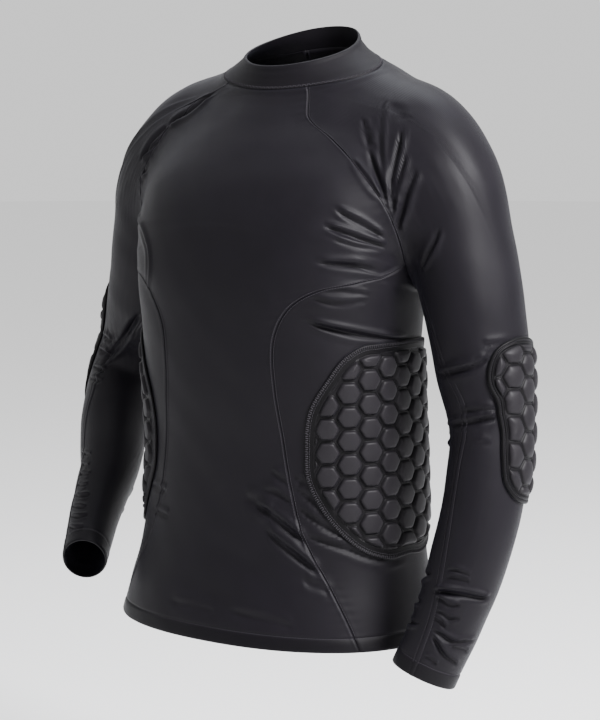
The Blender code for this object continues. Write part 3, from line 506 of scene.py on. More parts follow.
# Points of the front or the back panel, rows from the hem to the collar
def facePanel(face):
    even = np.linspace(-1, 1, faceSteps + 1)
    u = even * (1.15 - 0.15 * even**2)
    rows = smooth(sideRows, lowRows)
    edges = []
    for side in edgeSides[face]:
        low = seams[side]["side_" + face]
        edges.append(np.concatenate([low, seams[side]["raglan_" + face][1:]]))
    turns = [unbroken(turnOf(edge), face) for edge in edges]
    neckTurn = np.array([0.0 if face == "front" else pi])
    neck = neckPoints(neckTurn, seamMid)[0, 2]
    middle = rows[:, 2] if face == "front" else rows[:, 6]
    middle = np.r_[middle, np.linspace(middle[-1], neck, raglanSteps + 1)[1:]]
    turn = turns[0][:, None] * (1 - u) / 2 + turns[1][:, None] * (1 + u) / 2
    height = np.where(u < 0, edges[0][:, 2:], edges[1][:, 2:])
    height = middle[:, None] + u**2 * (height - middle[:, None])
    points = bodyPoints(turn, height, form)
    points[-1] = neckPoints(turnInNeck(points[-1], face), seamMid)
    points[:, 0] = edges[0]
    points[:, -1] = edges[1]
    return points


# Points of a side panel, rows from the hem to the armhole, front edge first
def sidePanel(side):
    lines = seams[side]
    w = np.linspace(-1, 1, sideSteps + 1)
    front = lines["side_front"]
    back = lines["side_back"]
    first = np.abs(turnOf(front))[:, None]
    last = np.abs(turnOf(back))[:, None]
    turn = signs[side] * (first * (1 - w) / 2 + last * (1 + w) / 2)
    edge = front[:, 2:] * (1 - w) / 2 + back[:, 2:] * (1 + w) / 2
    height = edge + (1 - w**2) * (lines["side_middle"][:, None] - edge)
    points = bodyPoints(turn, height, bodyField)
    points[:, 0] = front
    points[:, -1] = back
    points[-1] = lines["under"]
    return points


# Points of a sleeve with their places along and round it: loops from the armhole to the cuff
def sleevePanel(side):
    lines = seams[side]
    loop = np.concatenate([
        lines["raglan_front"][:-1],
        lines["neck"][:-1],
        lines["raglan_back"][::-1][:-1],
        lines["under"][::-1][:-1],
    ])
    sleeve = sleeves[side]
    run, turn = sleeve.placeOf(loop)
    turn = np.unwrap(turn)
    even = turn[0] - 2 * pi * np.arange(len(loop)) / len(loop)
    share = np.linspace(0, 1, sleeveSteps + 1)[:, None]
    runs = run + share * (sleeve.length - run)
    turns = turn + ease(share / 0.4) * (even - turn)
    points = sleevePoints(side, runs, turns)
    points[0] = loop
    return points, runs, turns


# A cubic curve through the rows of a grid, read at places counted in rows
def curved(grid, at, axis, closed=False):
    grid = np.moveaxis(grid, axis, 0)
    if closed:
        slopes = (np.roll(grid, -1, 0) - np.roll(grid, 1, 0)) / 2
        low = np.floor(at).astype(int)
        t = at - low
        high = (low + 1) % len(grid)
        low = low % len(grid)
    else:
        slopes = np.gradient(grid, axis=0)
        low = np.clip(np.floor(at).astype(int), 0, len(grid) - 2)
        t = at - low
        high = low + 1
    t = t.reshape((-1,) + (1,) * (grid.ndim - 1))
    made = cubic(t, 1.0, grid[low], grid[high], slopes[low], slopes[high])
    return np.moveaxis(made, 0, axis)


# Places that part each step evenly
def parted(steps, parts=4):
    return np.linspace(0, steps, parts * steps + 1)


# The same, with closer places in the first and the last step
def tightEnds(steps):
    tight = np.array([0, 0.10, 0.25, 0.45, 0.70])
    return np.r_[tight, 1 + parted(steps - 2), steps - tight[::-1]]


# A grid with one edge brought onto a line, and the rows beside it eased along
def settled(grid, line, axis, last, reach):
    grid = np.moveaxis(grid, axis, 0).copy()
    if last:
        grid = grid[::-1]
    shift = line - grid[0]
    for k in range(reach):
        grid[k] += shift * (1 - k / reach) ** 2
    if last:
        grid = grid[::-1]
    return np.moveaxis(grid, 0, axis)


# Rows near the hem and the cuffs lie closer, for the turned edge and its stitching
hemRows = np.array([
    0, 0.05, 0.12, 0.22, 0.5, 1.0, 1.5, 1.75, 1.87, 1.94, 2.0, 2.06, 2.13, 2.25, 2.5, 2.75, 3.0,
])
lowAt = np.r_[hemRows, 3 + parted(lowSteps - 3)[1:]]
raglanAt = parted(raglanSteps)
neckAt = parted(neckSteps)
underAt = tightEnds(sideSteps)
faceAt = tightEnds(faceSteps)
faceRowsAt = np.r_[lowAt, lowSteps + raglanAt[1:]]
cuffRows = sleeveSteps - np.array([
    0, 0.04, 0.10, 0.2, 0.4, 0.7, 1.0, 1.25, 1.36, 1.43, 1.50, 1.57, 1.64, 1.75, 2.0,
])[::-1]
sleeveRowsAt = np.r_[
    0, 0.18, 0.42, 0.7, 1 + parted(sleeveSteps - 17), sleeveSteps - 16 + parted(14, 6)[1:-1], cuffRows,
]
segments = [raglanAt[:-1], raglanSteps + neckAt[:-1]]
segments.append((2 * raglanSteps + neckSteps) - raglanAt[::-1][:-1])
segments.append((2 * raglanSteps + neckSteps + sideSteps) - underAt[::-1][:-1])
sleeveColumnsAt = np.concatenate(segments)


# Points and the ways out of them as one grid of six values
def paired(points, out):
    return np.concatenate([points, out], -1)


# A seam line with the ways out of it
def seamPair(side, name):
    line = seams[side][name]
    return paired(line, facing(line))


print("scene: seam lines are solved")
grids = {}

# Front and back: fine grid, then both long edges drawn through their own seam lines
for face in ("front", "back"):
    solved = facePanel(face)
    solved = paired(solved, facing(solved))
    fine = curved(curved(solved, faceRowsAt, 0), faceAt, 1)
    for side, last in zip(edgeSides[face], (False, True)):
        low = curved(seamPair(side, "side_" + face), lowAt, 0)
        high = curved(seamPair(side, "raglan_" + face), raglanAt, 0)
        fine = settled(fine, np.concatenate([low, high[1:]]), 1, last, 8)
    grids[face] = {"points": fine[..., :3], "out": unit(fine[..., 3:]), "closed": False}
print("scene: front and back are solved")

for side in signs:
    solved = sidePanel(side)
    out = facing(solved)
    weight = np.sin(np.linspace(0, pi, sideSteps + 1))[:, None]
    out[-1] = unit((1 - weight) * out[-1] + weight * facing(solved[-1], bodyField))
    fine = curved(curved(paired(solved, out), lowAt, 0), underAt, 1)
    grids["side_" + side] = {"points": fine[..., :3], "out": unit(fine[..., 3:]), "closed": False}

    solved, runs, turns = sleevePanel(side)
    out = facing(solved)
    count = solved.shape[1]
    under = np.r_[np.arange(count - sideSteps, count), 0]
    own = facing(solved[0, under], sleeves[side].field)
    out[0, under] = unit((1 - weight) * out[0, under] + weight * own)
    fine = curved(curved(paired(solved, out), sleeveRowsAt, 0), sleeveColumnsAt, 1, True)
    parts = [curved(seamPair(side, "raglan_front"), raglanAt, 0)[:-1]]
    parts.append(curved(seamPair(side, "neck"), neckAt, 0)[:-1])
    parts.append(curved(seamPair(side, "raglan_back"), raglanAt, 0)[::-1][:-1])
    low = paired(seams[side]["under"], out[0, under[::-1]])
    parts.append(curved(low, underAt, 0)[::-1][:-1])
    fine = settled(fine, np.concatenate(parts), 0, False, 10)
    turns = np.column_stack([turns, turns[:, :1] - 2 * pi])
    runs = np.column_stack([runs, runs[:, :1]])
    grids["sleeve_" + side] = {
        "points": fine[..., :3],
        "out": unit(fine[..., 3:]),
        "closed": True,
        "run": curved(curved(runs, sleeveRowsAt, 0), sleeveColumnsAt, 1),
        "turn": curved(curved(turns, sleeveRowsAt, 0), sleeveColumnsAt, 1),
    }
print("scene: sides and sleeves are solved")

# Collar: its lower loop is the top edge of the panels and sleeves in turn
collarRows = 7
loop = np.concatenate([
    grids["front"]["points"][-1, :-1],
    curved(seams["left"]["neck"], neckAt, 0)[:-1],
    grids["back"]["points"][-1, :-1],
    curved(seams["right"]["neck"], neckAt, 0)[::-1][:-1],
])
turns = np.unwrap(np.arctan2(loop[:, 0], neckY - loop[:, 1]))
mids = np.linspace(seamMid, topMid, collarRows)[:, None]
solved = neckPoints(turns + np.zeros((collarRows, 1)), mids + np.zeros(turns.shape))
solved[0] = loop
collarAt = np.array([
    0, 0.12, 0.3, 0.55, 0.8, 1, 1.5, 2, 2.5, 3, 3.5, 4, 4.5, 5, 5.3, 5.6, 5.75, 5.86, 5.93, 5.97, 6,
])
fine = curved(paired(solved, facing(solved)), collarAt, 0)
grids["collar"] = {"points": fine[..., :3], "out": unit(fine[..., 3:]), "closed": True}
print("scene: collar is solved", {name: grid["points"].shape for name, grid in grids.items()})

# Creases that the picture shows, traced as lines in the picture. The ridge lies to the left of the way
# along. Pieces, line, half width, depth and ridge in millimetres
seenCreases = [
    ("front", [(333, 207.5), (357, 222), (385, 237.5)], 2.6, 2.0, 1.5),
    ("front", [(322, 225), (357, 238), (387, 248)], 2.7, 2.8, 2.2),
    ("front", [(331, 239), (357, 246.5), (384, 250.5)], 2.2, 1.4, 1.2),
    ("front", [(314, 262.5), (340, 265), (366, 268.5), (391, 275)], 3.1, 2.6, 2.4),
    ("side_left", [(320, 293), (342, 292), (370, 295)], 2.6, 1.1, 1.2),
    ("side_left", [(309, 298), (327, 303), (345, 304.5), (367, 300)], 2.8, 1.4, 1.3),
    ("side_left", [(303, 322), (331, 329), (360, 336), (390, 339.5), (409, 340)], 3.0, 3.2, 2.6),
    ("front sleeve_left", [(351, 158), (366, 179), (381, 200)], 2.4, 0.5, 1.7),
    ("front sleeve_left", [(363, 117), (365, 130), (368, 147)], 2.2, 2.2, 1.2),
    ("front sleeve_left", [(369.5, 123), (369.5, 133), (371, 145)], 1.8, 1.5, 1.0),
    ("front sleeve_left", [(368, 146), (374, 167), (381, 186), (387, 204)], 2.6, 2.6, 1.5),
    ("front sleeve_left", [(386, 89), (381.7, 118), (380.8, 150), (382, 173), (387, 199)], 2.2, 0.8, 1.3),
    ("front sleeve_left", [(391, 103), (398, 111), (404, 121)], 6.0, 0.7, 0.3),
    ("front sleeve_left", [(405, 124), (399, 145), (394.5, 165), (391, 190), (390, 206)], 2.6, 3.0, 1.7),
    ("front sleeve_left", [(407.5, 152), (401, 170), (396, 190), (392, 213)], 2.4, 2.6, 1.5),
    ("sleeve_left", [(418, 168), (409, 188), (403, 206), (397, 231)], 3.0, 2.8, 1.9),
    ("sleeve_left", [(441, 228), (432, 246), (421, 269)], 2.6, 2.6, 1.7),
    ("sleeve_left", [(436, 374), (450, 373), (463, 370), (478, 364.5), (490, 357)], 2.9, 3.0, 2.4),
    ("sleeve_left", [(481, 345.5), (497, 343.5), (515, 342.5)], 2.2, 1.4, 1.3),
    ("sleeve_left", [(487, 350.5), (500, 348.5), (512, 346.5)], 2.0, 1.1, 1.0),
    ("sleeve_left", [(461, 412), (478, 411), (497, 409)], 2.4, 1.6, 1.5),
    ("sleeve_left", [(449, 424), (462, 423.5), (478, 421), (499, 417)], 2.8, 2.8, 2.3),
    ("sleeve_left", [(472, 444), (492, 442.5)], 2.2, 0.9, 0.8),
    ("sleeve_left", [(445, 570), (457, 571.5), (471, 576)], 2.0, 1.2, 1.1),
    ("sleeve_left", [(445, 577), (458, 578.5), (470, 583)], 2.0, 1.2, 1.1),
    ("sleeve_left", [(431, 591), (445, 592), (458, 595), (473, 597), (490, 598)], 2.8, 3.4, 2.7),
    ("sleeve_left", [(435, 596), (441, 600), (448, 605), (461, 606)], 2.0, 1.6, 1.2),
    ("sleeve_left", [(435, 611), (442, 614), (448, 618), (461, 619)], 2.0, 1.6, 1.2),
    ("sleeve_left", [(432, 617), (438, 621), (446, 628)], 2.0, 1.5, 1.1),
    ("sleeve_left", [(430, 629), (440, 635), (450, 641), (468, 641), (487, 637)], 2.2, 2.1, 1.7),
    ("sleeve_left", [(431, 635), (438, 646), (445, 656), (458, 665)], 2.3, 2.5, 1.7),
    ("sleeve_left", [(449, 646), (458, 648), (468, 652)], 2.0, 1.3, 1.0),
    ("sleeve_left", [(423, 655), (430, 660), (437, 665)], 2.0, 1.2, 1.0),
    ("front side_left", [(252, 504), (268, 513), (280, 522), (293, 533), (305, 543)], 3.8, 2.6, 2.2),
    ("front side_left", [(264, 529), (283, 546), (300, 560), (319, 573)], 3.8, 2.6, 2.4),
    ("front side_left", [(260, 489), (276, 494), (292, 503)], 3.3, 1.6, 1.3),
    ("front side_left", [(270, 472), (278, 477), (287, 483)], 3.0, 1.2, 1.0),
    ("front side_left", [(301, 579), (315, 586), (330, 593)], 4.0, 1.2, 0.9),
    ("front side_left", [(243, 497), (256, 503), (270, 514)], 6.0, 1.3, 0.8),
    ("side_left", [
        (297, 506), (306, 514), (317, 522), (330, 529), (342, 535), (355, 542), (365, 548),
    ], 2.9, 3.0, 2.2),
    ("side_left", [
        (302, 534), (315, 539), (327, 543), (350, 550), (368, 557), (388, 561), (409, 556),
    ], 3.1, 3.4, 2.3),
    ("side_left", [(294, 487), (302, 493), (309, 499), (318, 505), (328, 513)], 2.7, 2.6, 2.0),
    ("side_left", [(292, 473), (300, 482), (308, 493)], 2.5, 1.8, 1.4),
    ("front", [(221, 610), (255, 618), (294, 629)], 5.0, 1.2, 0.8),
    ("front", [(168, 600), (190, 606), (216, 612)], 4.5, 0.8, 0.6),
    ("front sleeve_right", [(214, 92), (200, 104), (189, 112), (178, 118), (168, 125)], 3.6, 2.8, 1.8),
    ("sleeve_right", [(168, 125), (157, 136), (148, 147), (140, 160)], 3.4, 3.0, 1.8),
    ("sleeve_right", [(160, 141), (151, 149), (142, 158)], 2.2, 2.2, 1.2),
    ("front", [(149, 168), (142, 174), (136, 181)], 2.4, 1.6, 1.4),
    ("front", [
        (134, 184), (136, 213), (142, 232), (147, 250), (148, 268), (144, 292), (143, 320),
    ], 2.6, 0.3, 1.6),
    ("sleeve_right", [(141, 312), (131, 327), (122, 341), (113, 352), (104, 362)], 3.4, 3.2, 2.1),
    ("sleeve_right", [(96, 331), (104, 336), (113, 342)], 3.0, 2.2, 1.9),
    ("sleeve_right", [(90, 343), (99, 349), (109, 355)], 2.8, 2.2, 1.8),
    ("sleeve_right", [(86, 361), (95, 367), (105, 372)], 2.6, 2.0, 1.7),
    ("sleeve_right", [(84, 374), (92, 379), (102, 382)], 2.6, 1.6, 1.4),
    ("sleeve_right", [(74, 452), (81, 453), (90, 455)], 2.0, 1.3, 1.0),
    ("sleeve_right", [(73, 463), (80, 463.5), (88, 466)], 1.9, 1.3, 1.0),
    ("sleeve_right", [(72, 473), (80, 474), (90, 474)], 2.0, 1.5, 1.1),
    ("sleeve_right", [(70, 483), (78, 485), (87, 485)], 2.0, 1.5, 1.2),
    ("sleeve_right", [(69, 494), (78, 496), (90, 495)], 2.1, 1.7, 1.3),
    ("sleeve_right", [(68, 505), (76, 507), (86, 507)], 2.1, 1.7, 1.3),
    ("sleeve_right", [(66, 516), (75, 517), (88, 515)], 2.1, 1.6, 1.2),
    ("sleeve_right", [(65, 526), (73, 528), (84, 527)], 2.0, 1.5, 1.1),
    ("side_right front", [(151, 484), (158, 488), (167, 491)], 2.5, 1.8, 1.3),
    ("side_right front", [(152, 510), (160, 512), (169, 516)], 2.5, 1.8, 1.2),
]
creaseShare = 1.35
widthShare = 0.85
# Creases out of the picture's sight, placed like those in sight. On the back: across and height
backCreases = [
    ("back", [(0.163, -0.182), (0.138, -0.196), (0.106, -0.204)], 2.8, 2.4, 1.8),
    ("back", [(0.160, -0.206), (0.130, -0.220), (0.094, -0.226)], 2.8, 2.6, 2.0),
    ("back", [(0.158, -0.232), (0.120, -0.241), (0.090, -0.240)], 2.6, 2.0, 1.6),
    ("back", [(-0.106, -0.206), (-0.138, -0.196), (-0.163, -0.178)], 2.8, 2.4, 1.8),
    ("back", [(-0.090, -0.229), (-0.126, -0.222), (-0.160, -0.203)], 2.8, 2.6, 2.0),
    ("back", [(-0.098, -0.249), (-0.130, -0.244), (-0.157, -0.230)], 2.6, 1.8, 1.4),
    ("back", [(0.118, -0.455), (0.070, -0.478), (0.020, -0.488)], 3.8, 2.4, 2.0),
    ("back", [(0.110, -0.492), (0.058, -0.514), (-0.010, -0.518)], 4.0, 2.6, 2.2),
    ("back", [(-0.008, -0.471), (-0.060, -0.468), (-0.112, -0.448)], 3.8, 2.2, 1.8),
    ("back", [(0.020, -0.546), (-0.050, -0.543), (-0.105, -0.522)], 4.2, 2.4, 2.0),
    ("back", [(0.096, -0.428), (0.040, -0.441), (-0.030, -0.436)], 4.0, 1.8, 1.4),
    ("back", [(0.050, -0.588), (0.000, -0.593), (-0.060, -0.584)], 4.6, 1.2, 0.9),
    ("back sleeve_left", [(0.098, -0.078), (0.125, -0.112), (0.146, -0.148)], 3.0, 2.4, 1.6),
    ("back sleeve_right", [(-0.146, -0.150), (-0.128, -0.114), (-0.100, -0.080)], 3.0, 2.4, 1.6),
]
# On the sleeves: distance along and angle round
sleeveCreases = [
    ("sleeve_left", [(0.170, -150), (0.205, -125), (0.232, -104)], 2.8, 2.4, 1.8),
    ("sleeve_left", [(0.190, -165), (0.225, -142), (0.258, -126)], 2.6, 2.0, 1.6),
    ("sleeve_left", [(0.372, 150), (0.378, 185), (0.372, 222)], 3.0, 2.8, 2.2),
    ("sleeve_left", [(0.398, 140), (0.402, 178), (0.398, 214)], 2.8, 2.4, 1.9),
    ("sleeve_left", [(0.346, 160), (0.350, 190), (0.344, 220)], 2.6, 1.8, 1.4),
    ("sleeve_left", [(0.552, 140), (0.560, 180), (0.566, 216)], 2.6, 2.4, 1.8),
    ("sleeve_left", [(0.584, 150), (0.588, 185), (0.583, 226)], 2.4, 1.8, 1.4),
    ("sleeve_left", [(0.606, 142), (0.612, 175), (0.616, 204)], 2.2, 1.6, 1.3),
    ("sleeve_left", [(0.560, -40), (0.566, -75), (0.562, -112)], 2.6, 1.8, 1.4),
    ("sleeve_right", [(0.175, -150), (0.208, -122), (0.236, -100)], 2.8, 2.2, 1.7),
    ("sleeve_right", [(0.330, 172), (0.338, 205), (0.332, 236)], 3.0, 2.6, 2.0),
    ("sleeve_right", [(0.356, 150), (0.362, 190), (0.358, 228)], 3.0, 3.0, 2.4),
    ("sleeve_right", [(0.386, 142), (0.388, 180), (0.384, 220)], 2.8, 2.4, 1.9),
    ("sleeve_right", [(0.570, -30), (0.576, -64), (0.571, -100)], 2.4, 1.7, 1.3),
    ("sleeve_right", [(0.600, -24), (0.604, -60), (0.602, -92)], 2.2, 1.6, 1.2),
]
# Underarm seams, a flat band on each sleeve: distance along and angle round
underarmSeams = {
    "left": [
        (0.235, 128), (0.280, 116), (0.324, 108), (0.345, 98), (0.366, 92), (0.397, 95), (0.428, 102),
        (0.460, 109), (0.491, 115), (0.543, 120), (0.585, 122), (0.627, 122), (0.656, 121),
    ],
    "right": [
        (0.232, 150), (0.270, 138), (0.310, 122), (0.345, 108), (0.380, 96), (0.420, 92), (0.470, 92),
        (0.520, 94), (0.570, 98), (0.620, 104), (0.660, 110), (0.692, 114),
    ],
}


# A smooth line through a few places, as evenly spaced places
def denser(line, count):
    line = np.asarray(line, float)
    run = np.r_[0, np.cumsum(np.hypot(*np.diff(line, axis=0).T))]
    return smooth(np.column_stack([run, line]), np.linspace(0, run[-1], count))


# Points of the form straight in front of the body's middle (toward -1) or behind it (1)
def straightOut(across, height, toward):
    start = np.column_stack([across, smooth(bodyRows, height)[:, 3], height])
    way = np.zeros(start.shape) + np.array([0.0, toward, 0.0])
    return start + leave(start, way, form, 0.01)[:, None] * way


# A line on a sleeve through places given by metres along and degrees round
def lineOnSleeve(side, places, count):
    line = denser([(run, turn / 1000) for run, turn in places], count)
    return sleevePoints(side, line[:, 0], np.radians(line[:, 1] * 1000))


# Each crease as points on the form with the ways out of it, its pieces, width, depth and ridge
def creaseList():
    count = 22
    lines = [denser(line, count) for _, line, _, _, _ in seenCreases]
    seen = seenPoints(np.concatenate(lines)).reshape(len(lines), count, 3)
    found = [(row, points) for row, points in zip(seenCreases, seen)]
    for row in backCreases:
        line = denser(row[1], count)
        found.append((row, straightOut(line[:, 0], line[:, 1], 1.0)))
    for row in sleeveCreases:
        found.append((row, lineOnSleeve(row[0].split("_")[1], row[1], count)))
    made = []
    for row, points in found:
        kept = points[np.isfinite(points).all(1)]
        if len(kept) < 6:
            print("scene: a crease misses the form", row[:2])
            continue
        width = widthShare * row[2] / 1000
        depth = creaseShare * row[3] / 1000
        ridge = creaseShare * row[4] / 1000
        made.append((kept, facing(kept), row[0].split(), width, depth, ridge))
    return made


# Which points lie near a line, with how far along it, how far to its left and how far off it
def besideLine(points, line, out, reach):
    low = line.min(0) - reach
    high = line.max(0) + reach
    near = np.flatnonzero(((points > low) & (points < high)).all(-1))
    legs = np.diff(line, axis=0)
    square = (legs**2).sum(-1)
    away = points[near, None] - line[:-1]
    share = np.clip((away * legs).sum(-1) / square, 0, 1)
    away = away - share[..., None] * legs
    best = (away**2).sum(-1).argmin(1)
    each = np.arange(len(near))
    away = away[each, best]
    along = (best + share[each, best]) / len(legs)
    left = unit(np.cross(out[:-1][best], legs[best]))
    aside = (away * left).sum(-1)
    off = np.abs((away * out[:-1][best]).sum(-1))
    kept = off < 0.012
    return near[kept], along[kept], aside[kept], np.linalg.norm(away[kept], axis=-1)


# Creases, in metres and in shares of their length: fades at both ends, least and most height
creasing = {"fadeIn": 0.20, "fadeOut": 0.12, "lowest": -0.0064, "highest": 0.0044}


# Height of the creases: an uneven trough with a ridge on its left and a lower one on its right
def creaseLift(points, name):
    flat = points.reshape(-1, 3)
    total = np.zeros(len(flat))
    for number, (line, out, names, width, depth, ridge) in enumerate(creases):
        if name not in names:
            continue
        near, along, aside, _ = besideLine(flat, line, out, 6 * width)
        fade = ease(along / creasing["fadeIn"]) * ease((1 - along) / creasing["fadeOut"])
        fade *= 1 + 0.20 * np.sin(8 * along + number)
        s = aside / (width * (0.75 + 0.45 * np.sin(pi * along)))
        s = s + 0.12 * np.sin(9 * along + 2 * number) * fade
        lift = -depth * np.exp(-(s**2)) + ridge * np.exp(-(((s - 1.9) / 1.3) ** 2))
        lift += 0.35 * ridge * np.exp(-(((s + 2.0) / 1.4) ** 2))
        total[near] += lift * fade
    return np.clip(total, creasing["lowest"], creasing["highest"]).reshape(points.shape[:-1])


# One broad fold between two points of the form
def foldOf(ends, width, depth):
    middle = ends.mean(0)
    along = ends[1] - ends[0]
    half = np.linalg.norm(along) / 2
    along = along / (2 * half)
    out = facing(middle[None])[0]
    out = unit(out - (out @ along) * along)
    return middle, along, np.cross(out, along), out, half, width, depth


# The frame's broad folds
def foldList():
    made = []
    for face, x0, z0, x1, z1, width, depth in broadBody:
        toward = -1.0 if face == "front" else 1.0
        made.append(foldOf(straightOut(np.array([x0, x1]), np.array([z0, z1]), toward), width, depth))
    for side, run0, turn0, run1, turn1, width, depth in broadSleeve:
        ends = sleevePoints(side, np.array([run0, run1]), np.radians([turn0, turn1]))
        made.append(foldOf(ends, width, depth))
    return made


# Height of the broad folds, at a share of the frame's depth
def foldLift(points):
    total = np.zeros(points.shape[:-1])
    for middle, along, across, out, half, width, depth in folds:
        away = points - middle
        run = np.clip(np.abs(away @ along) / (half * 1.15), 0, 1)
        side = away @ across / width
        near = np.clip(1.6 - np.abs(away @ out) / 0.030, 0, 1)
        total += depth * np.cos(run * pi / 2) ** 2 * np.exp(-(side**2)) * near
    return -broadShare * np.minimum(total, 0.0060)


# Underarm seam: thickness, half width and slope of its band, place and half width of the grooves
band = {"thick": 0.00045, "half": 0.0026, "slope": 0.0008, "groove": 0.0030, "grooveHalf": 0.0008}


# Height of the flat band over an underarm seam, with a groove along each edge
def underarmLift(points, side):
    flat = points.reshape(-1, 3)
    total = np.zeros(len(flat))
    line, out = underarms[side]
    near, along, aside, far = besideLine(flat, line, out, 0.012)
    fade = ease(along / 0.03) * (far < 0.010)
    d = np.abs(aside)
    lift = band["thick"] * ease((band["half"] - d) / band["slope"])
    lift -= band["thick"] * np.exp(-(((d - band["groove"]) / band["grooveHalf"]) ** 2))
    total[near] = lift * fade
    return total.reshape(points.shape[:-1])


# Very low, wide unevenness of worn cloth
def rippled(points):
    x, y, z = np.moveaxis(points, -1, 0)
    first = np.sin(61 * x + 37 * z + 1.3) * np.sin(52 * z - 23 * y + 0.4)
    second = np.sin(118 * z + 44 * x + 2.1) * np.sin(83 * x - 71 * y + 1.1)
    return 0.00035 * first + 0.00016 * second


# Seams: depth and half width of the groove, then height, place and half width of its edges
seam = {"groove": 0.00065, "half": 0.0012, "edge": 0.00035, "edgeAt": 0.0026, "edgeHalf": 0.0013}
# Puckers beside them: distance between two, how far off they are highest, and their height
pucker = {
    "pitch": 0.0090, "off": 0.0045, "raglan": 0.00050, "collar": 0.00045, "armhole": 0.00030, "side": 0.00022,
}


# A groove at a seam, its low edges and the small puckers beside it; far is the distance from it
def seamRelief(points, far, puckers, phase):
    low = -seam["groove"] * np.exp(-((far / seam["half"]) ** 2))
    low = low + seam["edge"] * np.exp(-(((far - seam["edgeAt"]) / seam["edgeHalf"]) ** 2))
    round_ = np.linalg.norm(points - np.array([0.0, 0.01, 0.05]), axis=-1)
    wave = np.sin(2 * pi * round_ / pucker["pitch"] + 1.9 * np.sin(31 * round_ + phase) + phase)
    uneven = 0.55 + 0.45 * np.sin(23 * round_ + 2 * phase)
    return low + puckers * uneven * wave * (far / pucker["off"]) * np.exp(1 - far / pucker["off"])


# Turned edges: slope of the band's end, depth and half width of its stitching line and of its rim
turnedBy = {"slope": 0.0025, "line": 0.00070, "lineHalf": 0.0011, "rim": 0.0010, "rimHalf": 0.0008}


# A turned edge: a low band, the sunk line of its stitching and the rounded rim
def turnedEdge(far, deep, thick):
    raisedBand = thick * ease((deep - far) / turnedBy["slope"])
    line = -turnedBy["line"] * np.exp(-(((far - deep) / turnedBy["lineHalf"]) ** 2))
    return raisedBand + line - turnedBy["rim"] * np.exp(-((far / turnedBy["rimHalf"]) ** 2))


creases = creaseList()
folds = foldList()
underarms = {}
for side, line in underarmSeams.items():
    points = lineOnSleeve(side, line, 60)
    underarms[side] = (points, facing(points))
print("scene:", len(creases), "creases are placed")

# Turned edges: how deep they are and how much thicker, then the wall and the flat rim round a pad
hemDeep = 0.016
cuffDeep = 0.017
collarDeep = 0.0065
hemThick = 0.0006
collarThick = 0.0004
wall = 0.0013
padClear = 0.006

# Cells of the foam pads, as in the frame
cellPitch = 0.0255
cellColumn = cellPitch * sin(radians(60))
cellSide = cellPitch / (2 * sin(radians(60)))
foamBase = 0.0016
# Pads: place, border, lift of the back and of the edge, and how high the thread lies on the border
rib = {
    "turn": 88.0, "height": -0.422, "reach": 0.155,
    "border": 0.0095, "lift": 0.0007, "edge": 0.0003, "thread": 0.00055,
}
ribOutline = np.array([
    [-180, 0.112], [-165, 0.114], [-150, 0.113], [-130, 0.115], [-115, 0.119], [-102, 0.119],
    [-90, 0.115], [-78, 0.119], [-65, 0.119], [-50, 0.115], [-30, 0.113], [-15, 0.114], [0, 0.112],
    [23, 0.116], [42, 0.118], [56, 0.124], [65, 0.124], [74, 0.119], [90, 0.115], [106, 0.119],
    [115, 0.124], [124, 0.124], [138, 0.118], [157, 0.116], [180, 0.112],
])
elbow = {
    "turn": -8.0, "along": 0.382,
    "border": 0.0070, "lift": 0.0012, "edge": 0.0004, "thread": 0.0003,
}
elbowOutline = np.array([
    [-180, 0.0370], [-170, 0.0375], [-144, 0.0430], [-126, 0.0570], [-113, 0.0730],
    [-104, 0.0790], [-90, 0.0800], [-76, 0.0790], [-67, 0.0730], [-54, 0.0570], [-36, 0.0430],
    [-10, 0.0375], [0, 0.0385], [21, 0.0450], [36, 0.0620], [46, 0.0710], [59, 0.0800],
    [75, 0.0815], [90, 0.0810], [105, 0.0815], [121, 0.0800], [134, 0.0710], [144, 0.0620],
    [159, 0.0450], [180, 0.0370],
])


# 0 under a pad and 1 well outside it, from places in its flat pattern
def clearOfPad(across, up, outline):
    degrees = np.degrees(np.arctan2(up, across))
    return ease((np.hypot(across, up) - smooth(outline, degrees)[..., 0]) / padClear)


# Height over the form, and a shade from 0 to 1 for the turned hem and cuffs
def raised(name, grid):
    points = grid["points"]
    total = foldLift(points) + rippled(points)
    fine = creaseLift(points, name)
    up = lengths(points, 0)
    down = up[-1] - up
    shade = np.zeros(up.shape)
    kind = name.split("_")[0]
    if kind == "sleeve":
        side = name.split("_")[1]
        fine += underarmLift(points, side)
        _, _, _, _, sideRadius, frontRadius = sleeves[side].at(grid["run"])
        off = np.mod(grid["turn"] - radians(elbow["turn"]) + pi, 2 * pi) - pi
        fine *= clearOfPad(off * (sideRadius + frontRadius) / 2, elbow["along"] - grid["run"], elbowOutline)
        total += seamRelief(points, up, pucker["raglan"], 0.0 if side == "left" else 1.0)
        total += turnedEdge(down, cuffDeep, hemThick)
        shade += ease((cuffDeep - down) / 0.003)
    elif kind == "collar":
        total += seamRelief(points, up, pucker["collar"], 0.4) + turnedEdge(down, collarDeep, collarThick)
    else:
        across = lengths(points, 1)
        first, last = across, across[:, -1:] - across
        rows = np.arange(points.shape[0])[:, None]
        raglan = rows > len(lowAt) - 1
        if kind == "side":
            side = name.split("_")[1]
            turn = signs[side] * turnOf(points)
            flat = (radians(rib["turn"]) - turn) * rib["reach"], points[..., 2] - rib["height"]
            fine *= clearOfPad(*flat, ribOutline)
            total += seamRelief(points, down, pucker["armhole"], 0.7)
        else:
            total += seamRelief(points, down, pucker["collar"], 0.4)
        strong = np.where(raglan, pucker["raglan"], pucker["side"])
        total += seamRelief(points, first, strong, 1.0 if kind == "front" else 0.0)
        total += seamRelief(points, last, strong, 0.0 if kind == "front" else 1.0)
        total += turnedEdge(up, hemDeep, hemThick)
        shade += ease((hemDeep - up) / 0.003)
    return total + fine, shade


